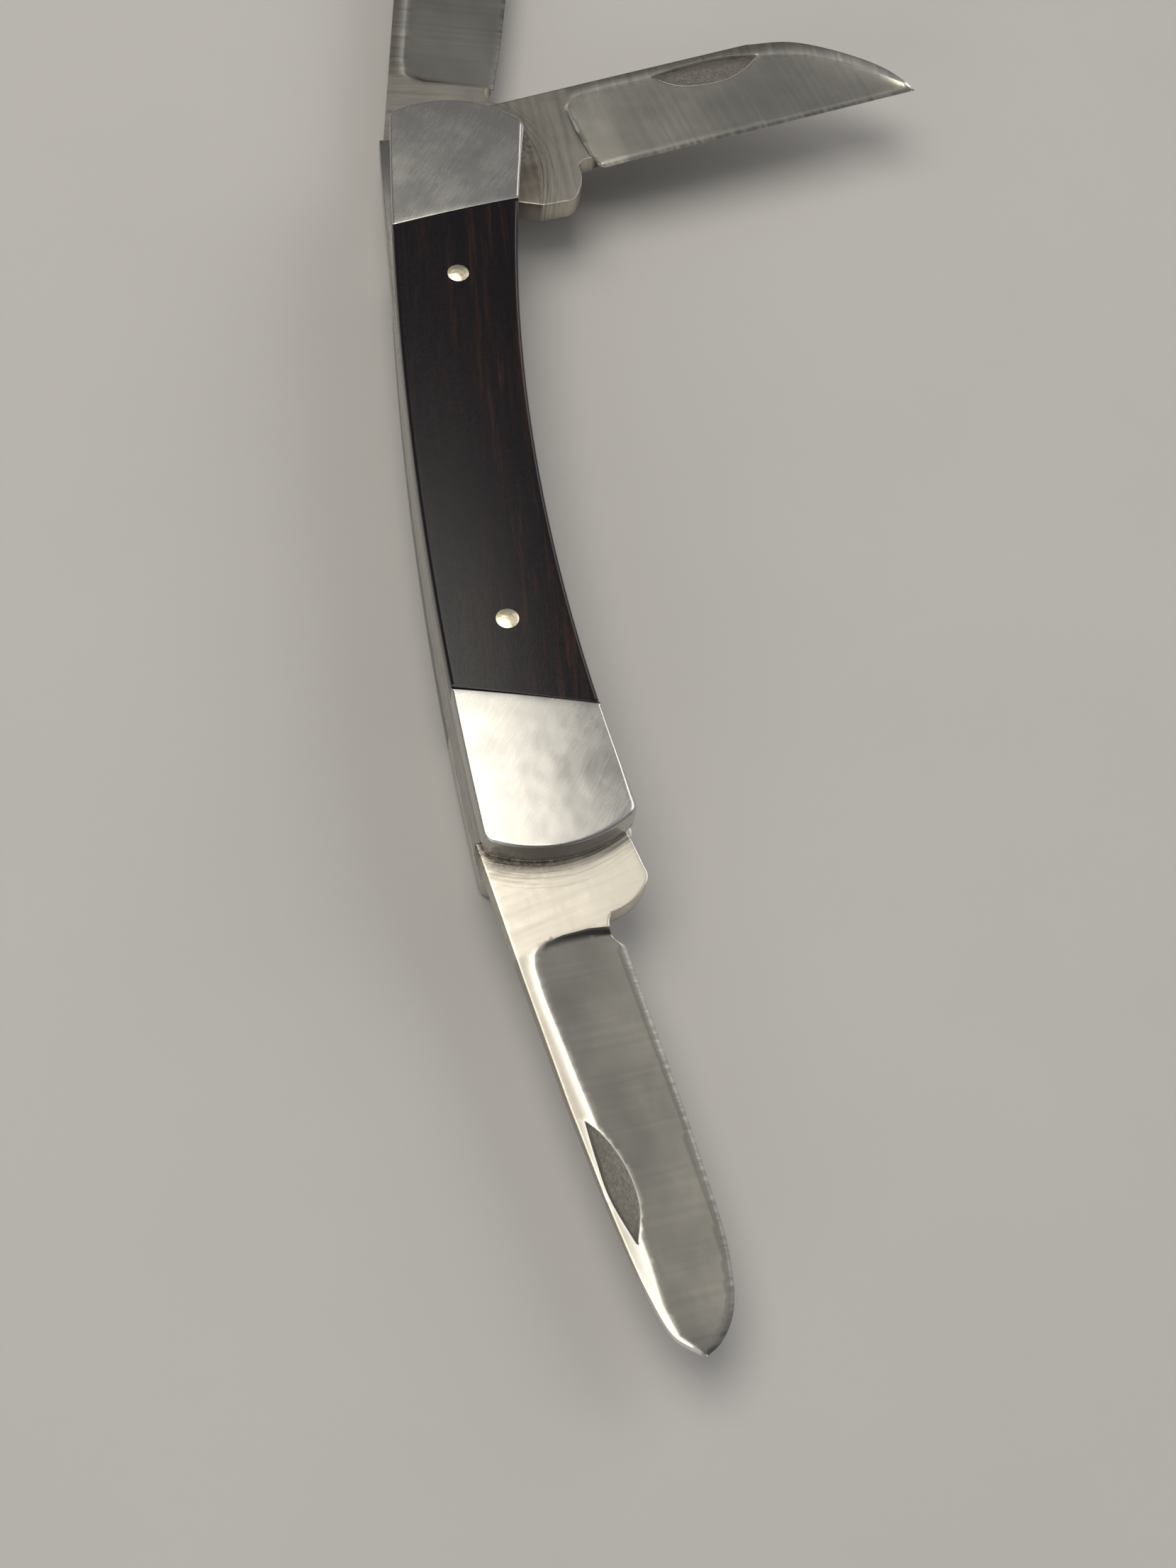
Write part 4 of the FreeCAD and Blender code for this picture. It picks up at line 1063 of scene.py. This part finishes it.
def make_stage():
    mesh = bpy.data.meshes.new("board")
    corners = [(x * BOARD_HALF, y * BOARD_HALF, BOARD_Z) for x, y in ((-1, -1), (1, -1), (1, 1), (-1, 1))]
    mesh.from_pydata(corners, [], [(0, 1, 2, 3)])
    board = bpy.data.objects.new("board", mesh)
    board.data.materials.append(floor_finish())
    bpy.context.scene.collection.objects.link(board)
    world = bpy.data.worlds.new("studio")
    world.use_nodes = True
    sky = Nodes(world.node_tree)
    towards = sky.add("ShaderNodeTexCoord").outputs["Generated"]
    along = sky.add("ShaderNodeSeparateXYZ", {0: towards}).outputs[0]
    spread = sky.add("ShaderNodeMapRange", {"Value": along, "From Min": -1}).outputs[0]
    ramp = sky.add("ShaderNodeValToRGB", {0: spread})
    sky.set(world.node_tree.nodes["Background"], 0, ramp.outputs[0])
    sky.set(world.node_tree.nodes["Background"], 1, 1.0)
    while len(ramp.color_ramp.elements) < len(ROOM):
        ramp.color_ramp.elements.new(0.5)
    for stop, (position, light) in zip(ramp.color_ramp.elements, ROOM):
        stop.position = position
        stop.color = (0.95 * light, 0.97 * light, light, 1)
    bpy.context.scene.world = world
    bpy.context.scene.view_settings.view_transform = "Standard"
    softbox("overhead", (0.18, 0.24, 0.9), (0.18, 0.24, 0), 0.85, 0.70, 5.0, (1.0, 0.96, 0.865))
    softbox("side", (0.60, -1.35, 1.0), (0, 0, 0), 1.5, 1.1, 9.5, (1.0, 0.985, 0.985))
    softbox("front", (-0.95, 0.9, 0.5), (0, 0, 0), 0.9, 0.5, 2.6, (0.97, 0.98, 1.0))
    camera = bpy.data.objects.new("camera", bpy.data.cameras.new("camera"))
    turn = Matrix((CAMERA_RIGHT, CAMERA_UP, CAMERA_BACK)).transposed().to_4x4()
    camera.matrix_world = Matrix.Translation(CAMERA_PLACE) @ turn
    camera.data.sensor_width, camera.data.lens = SENSOR_WIDTH, LENS
    camera.data.clip_start, camera.data.clip_end = 0.01, 20
    bpy.context.scene.collection.objects.link(camera)
    bpy.context.scene.camera = camera


# ---- Operators and panel ----
class KNIFE_OT_make_stage(bpy.types.Operator):
    """Make the board, the lights and the camera"""
    bl_idname = "knife.make_stage"
    bl_label = "Stage"

    def execute(self, context):
        make_stage()
        return {"FINISHED"}


class KNIFE_OT_make_bolsters(bpy.types.Operator):
    """Make the four polished bolsters"""
    bl_idname = "knife.make_bolsters"
    bl_label = "Bolsters"

    def execute(self, context):
        make_bolsters()
        return {"FINISHED"}


class KNIFE_OT_make_scales(bpy.types.Operator):
    """Make the two wooden scales"""
    bl_idname = "knife.make_scales"
    bl_label = "Scales"

    def execute(self, context):
        make_scales()
        return {"FINISHED"}


class KNIFE_OT_make_liners_and_springs(bpy.types.Operator):
    """Make the three liners and the two springs"""
    bl_idname = "knife.make_liners_and_springs"
    bl_label = "Liners and springs"

    def execute(self, context):
        make_liners_and_springs()
        return {"FINISHED"}


class KNIFE_OT_make_spey_blade(bpy.types.Operator):
    """Make the spey blade"""
    bl_idname = "knife.make_spey_blade"
    bl_label = "Spey blade"

    def execute(self, context):
        make_spey_blade()
        return {"FINISHED"}


class KNIFE_OT_make_sheepsfoot_blade(bpy.types.Operator):
    """Make the sheepsfoot blade"""
    bl_idname = "knife.make_sheepsfoot_blade"
    bl_label = "Sheepsfoot blade"

    def execute(self, context):
        make_sheepsfoot_blade()
        return {"FINISHED"}


class KNIFE_OT_make_main_blade(bpy.types.Operator):
    """Make the clip-point main blade"""
    bl_idname = "knife.make_main_blade"
    bl_label = "Main blade"

    def execute(self, context):
        make_main_blade()
        return {"FINISHED"}


class KNIFE_OT_make_pins(bpy.types.Operator):
    """Make the scale pins, the pivot pins and the spring rivet"""
    bl_idname = "knife.make_pins"
    bl_label = "Pins"

    def execute(self, context):
        make_pins()
        return {"FINISHED"}


OPERATORS = (
    KNIFE_OT_make_stage,
    KNIFE_OT_make_bolsters,
    KNIFE_OT_make_scales,
    KNIFE_OT_make_liners_and_springs,
    KNIFE_OT_make_spey_blade,
    KNIFE_OT_make_sheepsfoot_blade,
    KNIFE_OT_make_main_blade,
    KNIFE_OT_make_pins,
)


class KNIFE_PT_panel(bpy.types.Panel):
    """The knife's pieces, sizes and colours"""
    bl_label = "Whittling Knife"
    bl_idname = "KNIFE_PT_panel"
    bl_space_type = "VIEW_3D"
    bl_region_type = "UI"
    bl_category = "Knife"

    def draw(self, context):
        for group in (context.scene.knife_sizes, context.scene.knife_colours):
            box = self.layout.box()
            for key in group.bl_rna.properties.keys():
                if key not in ("rna_type", "name"):
                    box.prop(group, key)
        for made in OPERATORS:
            self.layout.operator(made.bl_idname)


CLASSES = (KnifeSizes, KnifeColours, *OPERATORS, KNIFE_PT_panel)


def register():
    for c in CLASSES:
        bpy.utils.register_class(c)
    bpy.types.Scene.knife_sizes = PointerProperty(type=KnifeSizes)
    bpy.types.Scene.knife_colours = PointerProperty(type=KnifeColours)


def unregister():
    del bpy.types.Scene.knife_sizes
    del bpy.types.Scene.knife_colours
    for c in reversed(CLASSES):
        bpy.utils.unregister_class(c)


def main():
    register()
    bpy.ops.knife.make_stage()
    bpy.ops.knife.make_bolsters()
    bpy.ops.knife.make_scales()
    bpy.ops.knife.make_liners_and_springs()
    bpy.ops.knife.make_spey_blade()
    bpy.ops.knife.make_sheepsfoot_blade()
    bpy.ops.knife.make_main_blade()
    bpy.ops.knife.make_pins()


if __name__ == "__main__":
    main()
